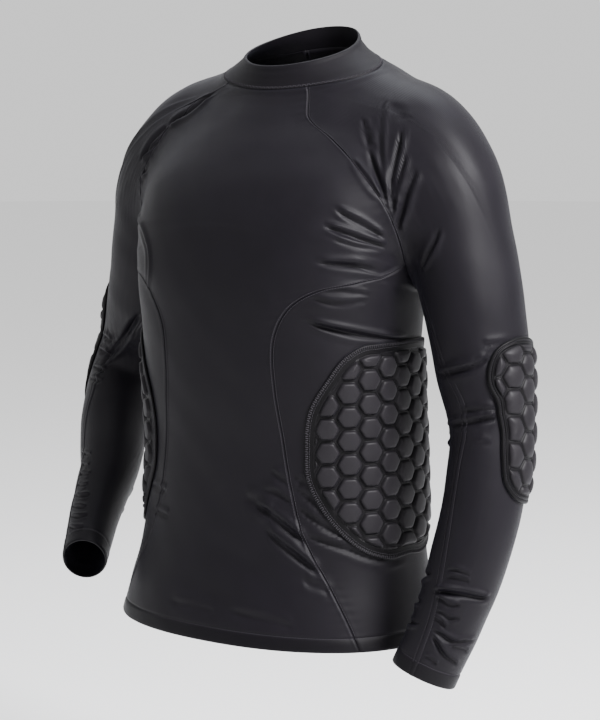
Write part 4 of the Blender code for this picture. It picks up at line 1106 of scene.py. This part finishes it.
for name, grid in grids.items():
    grid["height"], grid["shade"] = raised(name, grid)
    grid["outer"] = grid["points"] + grid["height"][..., None] * grid["out"]


# Bring two panels' edges onto the line midway between them
def meet(first, firstEdge, second, secondEdge):
    parts = []
    for name, edge in ((first, firstEdge), (second, secondEdge)):
        parts.append(grids[name]["outer"][edge])
    middle = (parts[0] + parts[1]) / 2
    for name, edge in ((first, firstEdge), (second, secondEdge)):
        outer = grids[name]["outer"]
        shift = middle - outer[edge]
        rows, columns = edge
        acrossEdge = np.ndim(rows) == 0
        inward = 1 if (rows if acrossEdge else columns) == 0 else -1
        for k in range(6):
            share = (1 - k / 6) ** 2
            place = (rows + inward * k, columns) if acrossEdge else (rows, columns + inward * k)
            outer[place] += shift * share


low = np.arange(len(lowAt))
raglan = len(lowAt) - 1 + np.arange(len(raglanAt))
steps = len(raglanAt) - 1
necks = len(neckAt) - 1
unders = len(underAt) - 1
loopSize = grids["sleeve_left"]["points"].shape[1]
for side in signs:
    frontEdge, backEdge = (-1, 0) if side == "left" else (0, -1)
    meet("front", (low, frontEdge), "side_" + side, (low, 0))
    meet("back", (low, backEdge), "side_" + side, (low, -1))
    meet("front", (raglan, frontEdge), "sleeve_" + side, (0, np.arange(steps + 1)))
    meet("back", (raglan, backEdge), "sleeve_" + side, (0, 2 * steps + necks - np.arange(steps + 1)))
    round_ = (2 * steps + necks + np.arange(unders + 1)) % loopSize
    meet("sleeve_" + side, (0, round_), "side_" + side, (-1, np.arange(unders + 1)[::-1]))
loop = np.concatenate([
    grids["front"]["outer"][-1, :-1],
    grids["sleeve_left"]["outer"][0, steps:steps + necks],
    grids["back"]["outer"][-1, :-1],
    grids["sleeve_right"]["outer"][0, steps:steps + necks + 1][::-1][:-1],
])
grids["collar"]["outer"] = settled(grids["collar"]["outer"], loop, 0, False, 6)
print("scene: panels are raised and meet at their seams")


# The lowest value within a few rows and columns
def lowestNear(values, reach, closed):
    made = values.copy()
    for axis in (0, 1):
        best = made.copy()
        for k in range(1, reach + 1):
            for way in (-k, k):
                moved = np.roll(made, way, axis)
                if axis == 0 or not closed:
                    place = [slice(None), slice(None)]
                    place[axis] = slice(0, k) if way > 0 else slice(-k, None)
                    moved[tuple(place)] = made[tuple(place)]
                best = np.minimum(best, moved)
        made = best
    return made


# A mesh object; uvs has one pair for each corner of each face, in order
def makeMesh(name, points, faces, uvs=None, shade=None):
    mesh = bpy.data.meshes.new(name)
    mesh.from_pydata(points.tolist(), [], faces)
    mesh.polygons.foreach_set("use_smooth", np.ones(len(mesh.polygons), bool))
    if uvs is not None:
        layer = mesh.uv_layers.new(name="cut")
        layer.data.foreach_set("uv", uvs.astype(np.float32).ravel())
    if shade is not None:
        given = mesh.attributes.new("shade", "FLOAT", "POINT")
        given.data.foreach_set("value", shade.astype(np.float32).ravel())
    mesh.update()
    thing = bpy.data.objects.new(name, mesh)
    bpy.context.scene.collection.objects.link(thing)
    return thing


# Rows and columns of the four corners of each face of a grid
def cornersOf(rows, spans, order):
    i, j = np.meshgrid(np.arange(rows - 1), np.arange(spans), indexing="ij")
    across = np.stack([i, i, i + 1, i + 1], -1).reshape(-1, 4)
    down = np.stack([j, j + 1, j + 1, j], -1).reshape(-1, 4)
    return across[:, order], down[:, order]


# A thin wall: the outer grid, an inner grid of every second row and column, and the rims
def clothPiece(name, grid):
    outer, out, closed = grid["outer"], grid["out"], grid["closed"]
    rows, columns = outer.shape[:2]
    lowest = lowestNear(grid["height"], 2, closed)
    inner = grid["points"] + (np.minimum(lowest, grid["height"]) - wall)[..., None] * out
    edge = np.zeros((rows, columns), bool)
    edge[[0, -1]] = True
    if not closed:
        edge[:, [0, -1]] = True
    inner[edge] = (outer - wall * out)[edge]
    inner = inner[::2, ::2]
    r, c = inner.shape[:2]
    across = outer[rows // 2, 1:columns // 2 + 1][0] - outer[rows // 2, 0]
    upward = outer[rows // 2 + 1, 0] - outer[rows // 2, 0]
    flip = np.dot(np.cross(across, upward), out[rows // 2, 0]) < 0

    spans = columns if closed else columns - 1
    cornersI, cornersJ = cornersOf(rows, spans, [0, 1, 2, 3])
    quads = cornersI * columns + cornersJ % columns
    gap = np.linalg.norm(np.roll(outer, -1, 1) - outer, axis=-1)[:, :spans].mean(0)
    u = np.r_[0, np.cumsum(gap)]
    v = np.r_[0, np.cumsum(np.linalg.norm(np.diff(outer, axis=0), axis=-1).mean(1))]
    uvs = np.stack([u[cornersJ], v[cornersI]], -1)

    count = rows * columns
    innerSpans = c if closed else c - 1
    innerI, innerJ = cornersOf(r, innerSpans, [0, 3, 2, 1])
    innerQuads = count + innerI * c + innerJ % c
    innerUvs = np.stack([u[np.minimum(2 * innerJ, spans)], v[2 * innerI]], -1)

    rims = []
    for row, innerRow, turned in ((0, 0, True), (rows - 1, r - 1, False)):
        for n in range(innerSpans):
            a = [row * columns + (2 * n + k) % columns for k in range(3)]
            b = [count + innerRow * c + (n + k) % c for k in range(2)]
            rims.append((a, b, turned))
    if not closed:
        for column, innerColumn, turned in ((0, 0, False), (columns - 1, c - 1, True)):
            for n in range(r - 1):
                a = [(2 * n + k) * columns + column for k in range(3)]
                b = [count + (n + k) * c + innerColumn for k in range(2)]
                rims.append((a, b, turned))
    rimFaces = []
    for a, b, turned in rims:
        for face in ((a[0], a[1], b[0]), (a[1], a[2], b[1]), (a[1], b[1], b[0])):
            rimFaces.append(face[::-1] if turned else face)

    faces = np.concatenate([quads, innerQuads])
    allUvs = np.concatenate([uvs, innerUvs])
    if flip:
        faces = faces[:, ::-1]
        allUvs = allUvs[:, ::-1]
        rimFaces = [face[::-1] for face in rimFaces]
    points = np.concatenate([outer.reshape(-1, 3), inner.reshape(-1, 3)])
    shade = np.concatenate([grid["shade"].ravel(), grid["shade"][::2, ::2].ravel()])
    uvList = np.concatenate([allUvs.reshape(-1, 2), np.zeros((3 * len(rimFaces), 2))])
    thing = makeMesh(name, points, faces.tolist() + rimFaces, uvList, shade)
    legs = np.diff(outer, axis=1)[:-1], np.diff(outer, axis=0)[:, :columns - 1]
    area = np.linalg.norm(np.cross(*legs), axis=-1).sum()
    sizes = [area, u[-1], lengths(outer, 1)[:, -1].max(), lengths(outer, 0)[-1].max()]
    print("scene:", name, "area, mean and most width, most length:", np.round(sizes, 4).tolist())
    return thing


pieces = {}
for name, grid in grids.items():
    pieces[name] = clothPiece("cloth_" + name, grid)
    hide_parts(name)
print("scene: cloth pieces are made")


# What the cloth under a pad does: the broad folds and the wide ripples
def unevenness(points):
    return foldLift(points) + rippled(points)


# Distance from the pad's middle to its outline, or to a line inside it
def outlineReach(outline, turn, border=0.0):
    degrees = np.degrees(turn)
    wrapped = (degrees + 180) % 360 - 180
    reach = smooth(outline, wrapped)[..., 0]
    ahead = smooth(outline, (wrapped + 181) % 360 - 180)[..., 0]
    behind = smooth(outline, (wrapped + 179) % 360 - 180)[..., 0]
    slope = (ahead - behind) / radians(2)
    return reach - border * np.sqrt(1 + (slope / reach) ** 2)


# Where the rib pad's flat pattern lies on the side panel
def ribSurface(side):
    def surface(a, b):
        turn = signs[side] * (radians(rib["turn"]) - a / rib["reach"])
        return bodyPoints(turn, rib["height"] + b, bodyField)
    return surface


# Where the elbow pad's flat pattern lies on the sleeve
def elbowSurface(side):
    def surface(a, b):
        run = elbow["along"] - b
        _, _, _, _, sideRadius, frontRadius = sleeves[side].at(run)
        return sleevePoints(side, run, radians(elbow["turn"]) + 2 * a / (sideRadius + frontRadius))
    return surface


# The least of several distances, rounded where two are alike
def softLeast(parts, sharpness=1500.0):
    least = parts.min(-1)
    spread_ = np.exp(-sharpness * (parts - least[..., None])).sum(-1)
    return np.maximum(least - np.log(spread_) / sharpness, 0)


# Height of a rib pad's cell over its backing: web, groove and pillow
def ribLevel(d):
    web = 0.0004 * np.exp(-((d / 0.0006) ** 2))
    crown = 0.0009 * (1 - np.exp(-np.maximum(d - 0.003, 0) / 0.004))
    return foamBase + web + 0.0036 * ease((d - 0.0008) / 0.0026) + crown


# Height of an elbow pad's cell over its backing: web and strongly domed pillow
def elbowLevel(d):
    web = 0.0006 * np.exp(-((d / 0.0007) ** 2))
    dome = 1 - np.clip((d - 0.0009) / 0.0100, 0, 1)
    return foamBase + web + 0.0048 * np.sqrt(np.maximum(1 - dome**2, 0)) * (d > 0.0009)


ringScales = np.array([1, 0.965, 0.93, 0.89, 0.85, 0.80, 0.73, 0.62, 0.45, 0.22])
backScales = (0.97, 0.88, 0.76, 0.62, 0.48, 0.34, 0.2, 0.08)
# Rims of the pads: share of the border from its inner edge, height in millimetres
ribRim = np.array([
    [-0.085, -0.4], [0, 0.4], [0.05, 0.36], [0.12, 0.3], [0.2, 0.3], [0.4, 0.3], [0.58, 0.3], [0.65, 0.1],
    [0.71, 0.45], [0.80, 0.6], [0.9, 0.55], [0.96, 0.3], [1.0, -0.4],
])
elbowRim = np.array([
    [-0.1, -0.4], [0, 0.3], [0.06, 0.85], [0.14, 1.3], [0.23, 1.5], [0.33, 1.3], [0.41, 0.75], [0.47, 0.25],
    [0.53, 0.75], [0.61, 1.2], [0.71, 1.4], [0.82, 1.1], [0.91, 0.4], [1.0, -0.6],
])


# Faces between rings of the same count, numbered from first, and the fan that closes the last one
def ringFaces(first, rings, around, turned):
    k, m = np.meshgrid(np.arange(rings - 1), np.arange(around), indexing="ij")
    here = first + k * around + m
    following = first + k * around + (m + 1) % around
    quads = np.stack([here, following, following + around, here + around], -1).reshape(-1, 4)
    last = first + (rings - 1) * around
    fan = np.array([[last + n, last + (n + 1) % around, last + around] for n in range(around)])
    if turned:
        quads, fan = quads[:, [0, 3, 2, 1]], fan[:, [1, 0, 2]]
    return quads.tolist() + fan.tolist()


# A foam pad: domed cells, the border round them and a plain back, as one closed piece. Its shade value marks
# the dark border and back, and paints shade into the grooves between the cells
def padPiece(name, shape, outline, surface, level, rim):
    flat, faces, shades = [], [], []
    count = 0
    corners = np.radians(60 * np.arange(6))
    hexagon = cellSide * np.stack([np.cos(corners), np.sin(corners)], -1)
    share = np.arange(6)[:, None] / 6
    boundary = np.concatenate([hexagon[k] * (1 - share) + hexagon[(k + 1) % 6] * share for k in range(6)])
    sides = np.radians(60 * np.arange(6) + 30)
    ways = np.stack([np.cos(sides), np.sin(sides)], -1)
    most = int(outline[:, 1].max() / cellColumn) + 2
    around = len(boundary)
    for column in range(-most, most + 1):
        for row in range(-most, most + 1):
            middle = np.array([column * cellColumn, (row + 0.5 * (column % 2)) * cellPitch])
            edge = middle + boundary
            far = np.hypot(*edge.T)
            reach = outlineReach(outline, np.arctan2(edge[:, 1], edge[:, 0]), shape["border"])
            edge = edge * np.minimum(1, reach / far)[:, None]
            following = np.roll(edge, -1, 0)
            turned = edge[:, 0] * following[:, 1] - following[:, 0] * edge[:, 1]
            area = turned.sum() / 2
            if area < 6e-6:
                continue
            centre = ((edge + following) * turned[:, None]).sum(0) / (6 * area)
            rings = centre + ringScales[:, None, None] * (edge - centre)
            places = np.concatenate([rings.reshape(-1, 2), centre[None]])
            reach = outlineReach(outline, np.arctan2(places[:, 1], places[:, 0]), shape["border"])
            toSides = cellPitch / 2 - (places - middle) @ ways.T
            d = softLeast(np.column_stack([toSides, reach - np.hypot(*places.T)]))
            flat.append(np.column_stack([places, level(d)]))
            # Painted shade: each cell darkens toward its grooves and edges, where shade falls between the
            # domes
            shades.append(0.75 * ease((0.0032 - d) / 0.0022))
            faces += ringFaces(count, len(ringScales), around, False)
            count += len(places)

    turns = 2 * pi * np.arange(240) / 240
    loops = []
    for part, height in rim:
        reach = outlineReach(outline, turns, shape["border"] * (1 - part))
        loops.append((reach, foamBase + height / 1000, 1.0))
    outer = outlineReach(outline, turns)
    loops.append((outer, shape["edge"] - shape["lift"], 1.0))
    for scale in backScales:
        loops.append((outer * scale, 0.0, 1.0))
    for reach, height, dark in loops:
        flat.append(np.column_stack([reach * np.cos(turns), reach * np.sin(turns), height + 0 * turns]))
        shades.append(dark + 0 * turns)
    flat.append(np.zeros((1, 3)))
    shades.append(np.ones(1))
    faces += ringFaces(count, len(loops), len(turns), True)

    flat = np.concatenate(flat)
    points = surface(flat[:, 0], flat[:, 1])
    points = points + (flat[:, 2] + shape["lift"] + unevenness(points))[:, None] * facing(points)
    trial = surface(np.array([0.0, 0.001, 0.0]), np.array([0.0, 0.0, 0.001]))
    if np.dot(np.cross(trial[1] - trial[0], trial[2] - trial[0]), facing(trial)[0]) < 0:
        faces = [face[::-1] for face in faces]
    uvs = flat[np.concatenate([np.array(face) for face in faces]), :2]
    thing = makeMesh("foam_" + name, points, faces, uvs, np.concatenate(shades))
    print("scene:", name, "has", len(faces), "faces")
    return thing


# Each kind of pad: its sizes, outline, place on the shirt, cells and rim
padKinds = {
    "rib": (rib, ribOutline, ribSurface, ribLevel, ribRim),
    "elbow": (elbow, elbowOutline, elbowSurface, elbowLevel, elbowRim),
}
for side in signs:
    for kind, (shape, outline, surface, level, rim) in padKinds.items():
        name = kind + "_pad_" + side
        pieces[name] = padPiece(name, shape, outline, surface(side), level, rim)
        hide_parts(name)


# The line on a finished panel at a distance from one of its edges, with the ways out
def beside(grid, axis, last, far):
    outer = np.moveaxis(grid["outer"], axis, 0)
    out = np.moveaxis(grid["out"], axis, 0)
    if last:
        outer, out = outer[::-1], out[::-1]
    outer, out = outer[:16], out[:16]
    run = lengths(outer, 0)
    k = np.clip((run <= far).sum(0) - 1, 0, 14)
    each = np.arange(outer.shape[1])
    share = ((far - run[k, each]) / (run[k + 1, each] - run[k, each]))[:, None]
    line = outer[k, each] * (1 - share) + outer[k + 1, each] * share
    return line, unit(out[k, each] * (1 - share) + out[k + 1, each] * share)


# A line that ends where it starts
def closedUp(line, out):
    return np.concatenate([line, line[:1]]), np.concatenate([out, out[:1]])


# Values of a line's points read at distances along it
def readAlong(run, values, at):
    return np.stack([np.interp(at, run, values[:, k]) for k in range(3)], -1)


# Threads along lines: small capsules of the given length, width and height, in metres
def stitches(lines, pitch, size, swing):
    length, width, height = size
    ring = ((0.5, 0), (0, 0.5), (-0.5, 0), (0, -0.5))
    middle = [[x, y, z] for x in (-0.36, 0.36) for y, z in ring]
    shape = np.array([[-0.5, 0, 0]] + middle + [[0.5, 0, 0]]) * np.array([length, width, height])
    cap = [(0, 1 + (k + 1) % 4, 1 + k) for k in range(4)] + [(9, 5 + k, 5 + (k + 1) % 4) for k in range(4)]
    walls = [(1 + k, 1 + (k + 1) % 4, 5 + (k + 1) % 4, 5 + k) for k in range(4)]
    points, faces = [], []
    count = 0
    for line, out in lines:
        run = lengths(line)
        number = max(int(run[-1] / pitch), 2)
        at = (np.arange(number) + 0.5) * run[-1] / number
        place = readAlong(run, line, at)
        up = unit(readAlong(run, out, at))
        ahead = readAlong(run, line, at + 0.001) - readAlong(run, line, at - 0.001)
        ahead = unit(ahead - (ahead * up).sum(-1, keepdims=True) * up)
        aside = np.cross(up, ahead)
        turn = swing * (1 - 2 * (np.arange(number) % 2))[:, None]
        first = np.cos(turn) * ahead + np.sin(turn) * aside
        second = np.cos(turn) * aside - np.sin(turn) * ahead
        made = place[:, None] + shape[:, :1] * first[:, None] + shape[:, 1:2] * second[:, None]
        made = made + (shape[:, 2:] + 0.25 * height) * up[:, None]
        points.append(made.reshape(-1, 3))
        for n in range(number):
            faces += [tuple(count + 10 * n + k for k in face) for face in cap + walls]
        count += 10 * number
    return np.concatenate(points), faces


# Kinds of stitch: pitch, then length, width and height, all in metres, and how far it turns aside
stitchKinds = {
    "seam": {"pitch": 0.0029, "size": (0.0023, 0.00045, 0.0004), "swing": 0.0},
    "collar": {"pitch": 0.0027, "size": (0.0034, 0.00065, 0.0005), "swing": radians(52)},
    "overlock": {"pitch": 0.0024, "size": (0.0040, 0.00070, 0.0005), "swing": radians(78)},
    "border": {"pitch": 0.0028, "size": (0.0023, 0.00045, 0.0004), "swing": 0.0},
    "cord": {"pitch": 0.0026, "size": (0.0021, 0.0004, 0.00035), "swing": 0.0},
}


# One named piece of stitching
def stitchPiece(name, lines, kind="seam"):
    thing = makeMesh("stitches_" + name, *stitches(lines, **stitchKinds[kind]))
    pieces["stitches_" + name] = thing
    return thing


# Part of a line with its ways out
def cut(line, first, last):
    return line[0][first:last], line[1][first:last]


lowCount = len(lowAt)
seamOff = 0.0020
hemTop = 12
hemPanels = ("front", "back", "side_left", "side_right")
stitchPiece("hem", [beside(grids[name], 0, False, hemDeep) for name in hemPanels])
for side in signs:
    sleeve = grids["sleeve_" + side]
    stitchPiece("cuff_" + side, [closedUp(*beside(sleeve, 0, True, cuffDeep))])
    frontLast = side == "left"
    rows = []
    for face, last in (("front", frontLast), ("back", not frontLast)):
        rows.append(cut(beside(grids[face], 1, last, seamOff), lowCount, None))
    near = beside(sleeve, 0, False, seamOff)
    rows.append(cut(near, 0, steps + 1))
    rows.append(cut(near, steps + necks, 2 * steps + necks + 1))
    stitchPiece("raglan_" + side, rows)
    lowRowsNear = []
    for face, last in (("front", frontLast), ("back", not frontLast)):
        lowRowsNear.append(cut(beside(grids[face], 1, last, seamOff), hemTop, lowCount))
    for last in (False, True):
        lowRowsNear.append(cut(beside(grids["side_" + side], 1, last, seamOff), hemTop, lowCount))
    stitchPiece("side_" + side, lowRowsNear)
stitchPiece("collar", [closedUp(*beside(grids["collar"], 0, False, 0.0024))], "collar")


# A closed line on a pad's border, with the ways out of it
def padStitches(side, kind, inset):
    shape, outline, surface = padKinds[kind][:3]
    turns = 2 * pi * np.arange(361) / 360
    reach = outlineReach(outline, turns, inset)
    points = surface(side)(reach * np.cos(turns), reach * np.sin(turns))
    out = facing(points)
    level = foamBase + shape["lift"] + shape["thread"]
    return points + (level + unevenness(points))[:, None] * out, out


for side in signs:
    stitchPiece("rib_pad_" + side, [padStitches(side, "rib", 0.0022)], "overlock")
    stitchPiece("rib_line_" + side, [padStitches(side, "rib", 0.0052)], "border")
    stitchPiece("elbow_pad_" + side, [padStitches(side, "elbow", 0.0037)], "cord")
    line, out = underarms[side]
    rows = []
    for way in (-1, 1):
        left = unit(np.cross(out, np.gradient(line, axis=0)))
        beyond = line + way * band["groove"] * left
        level = foldLift(beyond) + rippled(beyond) - 0.0002
        rows.append((beyond + level[:, None] * out, out))
    stitchPiece("underarm_" + side, rows)
print("scene: stitches are made")


# A shader value that takes arithmetic
class Wire:
    def __init__(self, tree, socket):
        self.tree = tree
        self.socket = socket

    def maths(self, kind, *others, first=None):
        node = self.tree.nodes.new("ShaderNodeMath")
        node.operation = kind
        values = (self if first is None else first,) + (others if first is None else (self,))
        for place, value in zip(node.inputs, values):
            if isinstance(value, Wire):
                self.tree.links.new(value.socket, place)
            else:
                place.default_value = value
        return Wire(self.tree, node.outputs[0])

    def __add__(self, other):
        return self.maths("ADD", other)

    __radd__ = __add__

    def __mul__(self, other):
        return self.maths("MULTIPLY", other)

    __rmul__ = __mul__

    def __sub__(self, other):
        return self.maths("SUBTRACT", other)

    def __rsub__(self, other):
        return self.maths("SUBTRACT", first=other)

    def sine(self):
        return self.maths("SINE")


# A material and its nodes
class Surface:
    def __init__(self, name, roughness, sheen=0.0, specular=0.09):
        self.material = bpy.data.materials.new(name)
        self.material.use_nodes = True
        self.tree = self.material.node_tree
        self.shader = self.tree.nodes["Principled BSDF"]
        for slot, value in {
            "Roughness": roughness, "Sheen Weight": sheen, "Sheen Tint": (0.66, 0.68, 0.88, 1.0),
            "Sheen Roughness": 0.42, "Specular IOR Level": specular,
        }.items():
            self.shader.inputs[slot].default_value = value

    # Any node, from its type, its settings and its inputs
    def make(self, kind, settings, values):
        node = self.tree.nodes.new(kind)
        for key, value in settings.items():
            setattr(node, key, value)
        for key, value in values.items():
            if isinstance(value, Wire):
                self.tree.links.new(value.socket, node.inputs[key])
            else:
                node.inputs[key].default_value = value
        return node

    def wire(self, node, output):
        return Wire(self.tree, node.outputs[output])

    def feed(self, slot, value):
        self.tree.links.new(value.socket, self.shader.inputs[slot])


# Noise from about -1 to 1
def noise(surface, where, scale, detail):
    node = surface.make("ShaderNodeTexNoise", {}, {"Vector": where, "Scale": scale, "Detail": detail})
    return (surface.wire(node, "Fac") - 0.5) * 2.0


# Stretch knit: fine ribs by the cut's own coordinates, cloudy tone and darker turned edges. On the foam the
# same shade value darkens the border and adds painted shade in the grooves between the cells
def clothSurface(name, dark, light, roughness, sheen, knit):
    made = Surface(name, roughness, sheen)
    spots = made.wire(made.make("ShaderNodeTexCoord", {}, {}), "Object")
    shade = made.wire(made.make("ShaderNodeAttribute", {"attribute_name": "shade"}, {}), "Fac")
    cloud = noise(made, spots, 34.0, 3.0)
    fibre = noise(made, spots, 900.0, 2.0)
    # The shade value darkens the tone: on the cloth the turned edges, on the foam the border and the painted
    # shade in the cell grooves
    tone = 0.5 + 0.16 * cloud + 0.20 * fibre - 0.5 * shade
    mix = made.make("ShaderNodeMix", {"data_type": "RGBA"}, {"Factor": tone})
    mix.inputs[6].default_value = dark + (1,)
    mix.inputs[7].default_value = light + (1,)
    made.feed("Base Color", made.wire(mix, 2))
    made.feed("Roughness", roughness + 0.05 * cloud + 0.04 * fibre)
    height = 0.35 * fibre
    if knit:
        flat = made.make("ShaderNodeUVMap", {"uv_map": "cut"}, {})
        split = made.make("ShaderNodeSeparateXYZ", {}, {"Vector": made.wire(flat, "UV")})
        wale = (made.wire(split, "X") * (2 * pi / 0.0010)).sine()
        course = (made.wire(split, "Y") * (2 * pi / 0.0008) + wale * 1.2).sine()
        height = height + 0.5 * wale + 0.35 * course
    bump = made.make("ShaderNodeBump", {}, {"Strength": 0.30, "Distance": 0.0002, "Height": height})
    made.feed("Normal", made.wire(bump, "Normal"))
    return made.material


# Name, dark and light tone, roughness, sheen, and whether it is knitted
looks = {
    "cloth": ("stretch_knit", (0.0028, 0.0024, 0.0034), (0.0074, 0.0063, 0.0088), 0.44, 0.020, True),
    "side_cloth": ("side_knit", (0.0026, 0.0022, 0.0031), (0.0068, 0.0058, 0.0080), 0.46, 0.018, True),
    "collar_cloth": ("collar_knit", (0.0024, 0.0020, 0.0028), (0.0060, 0.0051, 0.0070), 0.52, 0.016, True),
    # The foam's dark tone serves its dark border and the painted shade in its cell grooves
    "foam": ("foam_fabric", (0.0016, 0.0014, 0.0018), (0.0190, 0.0172, 0.0200), 0.47, 0.020, False),
    "thread": ("thread", (0.0220, 0.0200, 0.0240), (0.0480, 0.0440, 0.0510), 0.60, 0.02, False),
}
surfaces = {name: clothSurface(*look) for name, look in looks.items()}
slots = {"front": "cloth", "back": "cloth", "sleeve": "cloth", "side": "side_cloth", "collar": "collar_cloth"}
for name, thing in pieces.items():
    kind = name.split("_")[0]
    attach(thing, "root")
    if kind in slots:
        thing.data.materials.append(surfaces[slots[kind]])
    elif kind in ("rib", "elbow"):
        thing.data.materials.append(surfaces["foam"])
    else:
        thing.data.materials.append(surfaces["thread"])
# A soft square lamp aimed at a point
def lamp(name, place, toward, size, power, colour=(1, 1, 1)):
    light = bpy.data.lights.new(name, "AREA")
    light.shape = "RECTANGLE"
    light.size, light.size_y = size
    light.energy = power
    light.color = colour
    thing = bpy.data.objects.new(name, light)
    bpy.context.scene.collection.objects.link(thing)
    back = unit(np.array(place) - np.array(toward))
    right = unit(np.cross([0, 0, 1.0], back))
    up = np.cross(back, right)
    turned = np.eye(4)
    turned[:3, :3] = np.column_stack([right, up, back])
    turned[:3, 3] = place
    thing.matrix_world = Matrix(turned.tolist())


target = np.array([0.0, 0.0, -0.34])
lamps = {
    "key": (1.45 * viewRight + 1.55 * viewUp + 1.55 * viewBack, (0.8, 0.8), 250.0, (0.99, 0.98, 1.0)),
    "fill": (1.5 * viewRight - 0.1 * viewUp + 1.7 * viewBack, (1.2, 1.4), 14.0, (0.99, 0.975, 1.0)),
    "top": (0.2 * viewRight + 2.0 * viewUp - 0.6 * viewBack, (1.6, 1.0), 30.0, (0.90, 0.95, 1.0)),
}
for name, (away, size, power, colour) in lamps.items():
    lamp(name, target + away, target, size, power, colour)

world = bpy.data.worlds.new("studio")
world.use_nodes = True
world.node_tree.nodes["Background"].inputs["Color"].default_value = (1, 1, 1, 1)
world.node_tree.nodes["Background"].inputs["Strength"].default_value = 1.0
bpy.context.scene.world = world

turns = 2 * pi * np.arange(64) / 64
ground = {"reach": 12, "height": -0.95}
disc = np.column_stack([
    ground["reach"] * np.cos(turns), ground["reach"] * np.sin(turns), np.full(64, ground["height"]),
])
floor = makeMesh("floor", disc, [list(range(64))])
floorSurface = Surface("floor", 0.9, specular=0.0)
floorSurface.shader.inputs["Base Color"].default_value = (0.92, 0.92, 0.92, 1)
floor.data.materials.append(floorSurface.material)

eye = bpy.data.cameras.new("camera")
wide, tall = camera["picture"]
eye.lens = camera["focal"] / tall * camera["sensor"]
eye.sensor_width = camera["sensor"]
eye.shift_x = (wide / 2 - camera["across"]) / tall
eyeObject = bpy.data.objects.new("camera", eye)
bpy.context.scene.collection.objects.link(eyeObject)
placed = np.eye(4)
placed[:3, :3] = np.column_stack([viewRight, viewUp, viewBack])
placed[:3, 3] = viewFrom
eyeObject.matrix_world = Matrix(placed.tolist())
bpy.context.scene.camera = eyeObject
print("scene: camera, lamps and floor are placed")
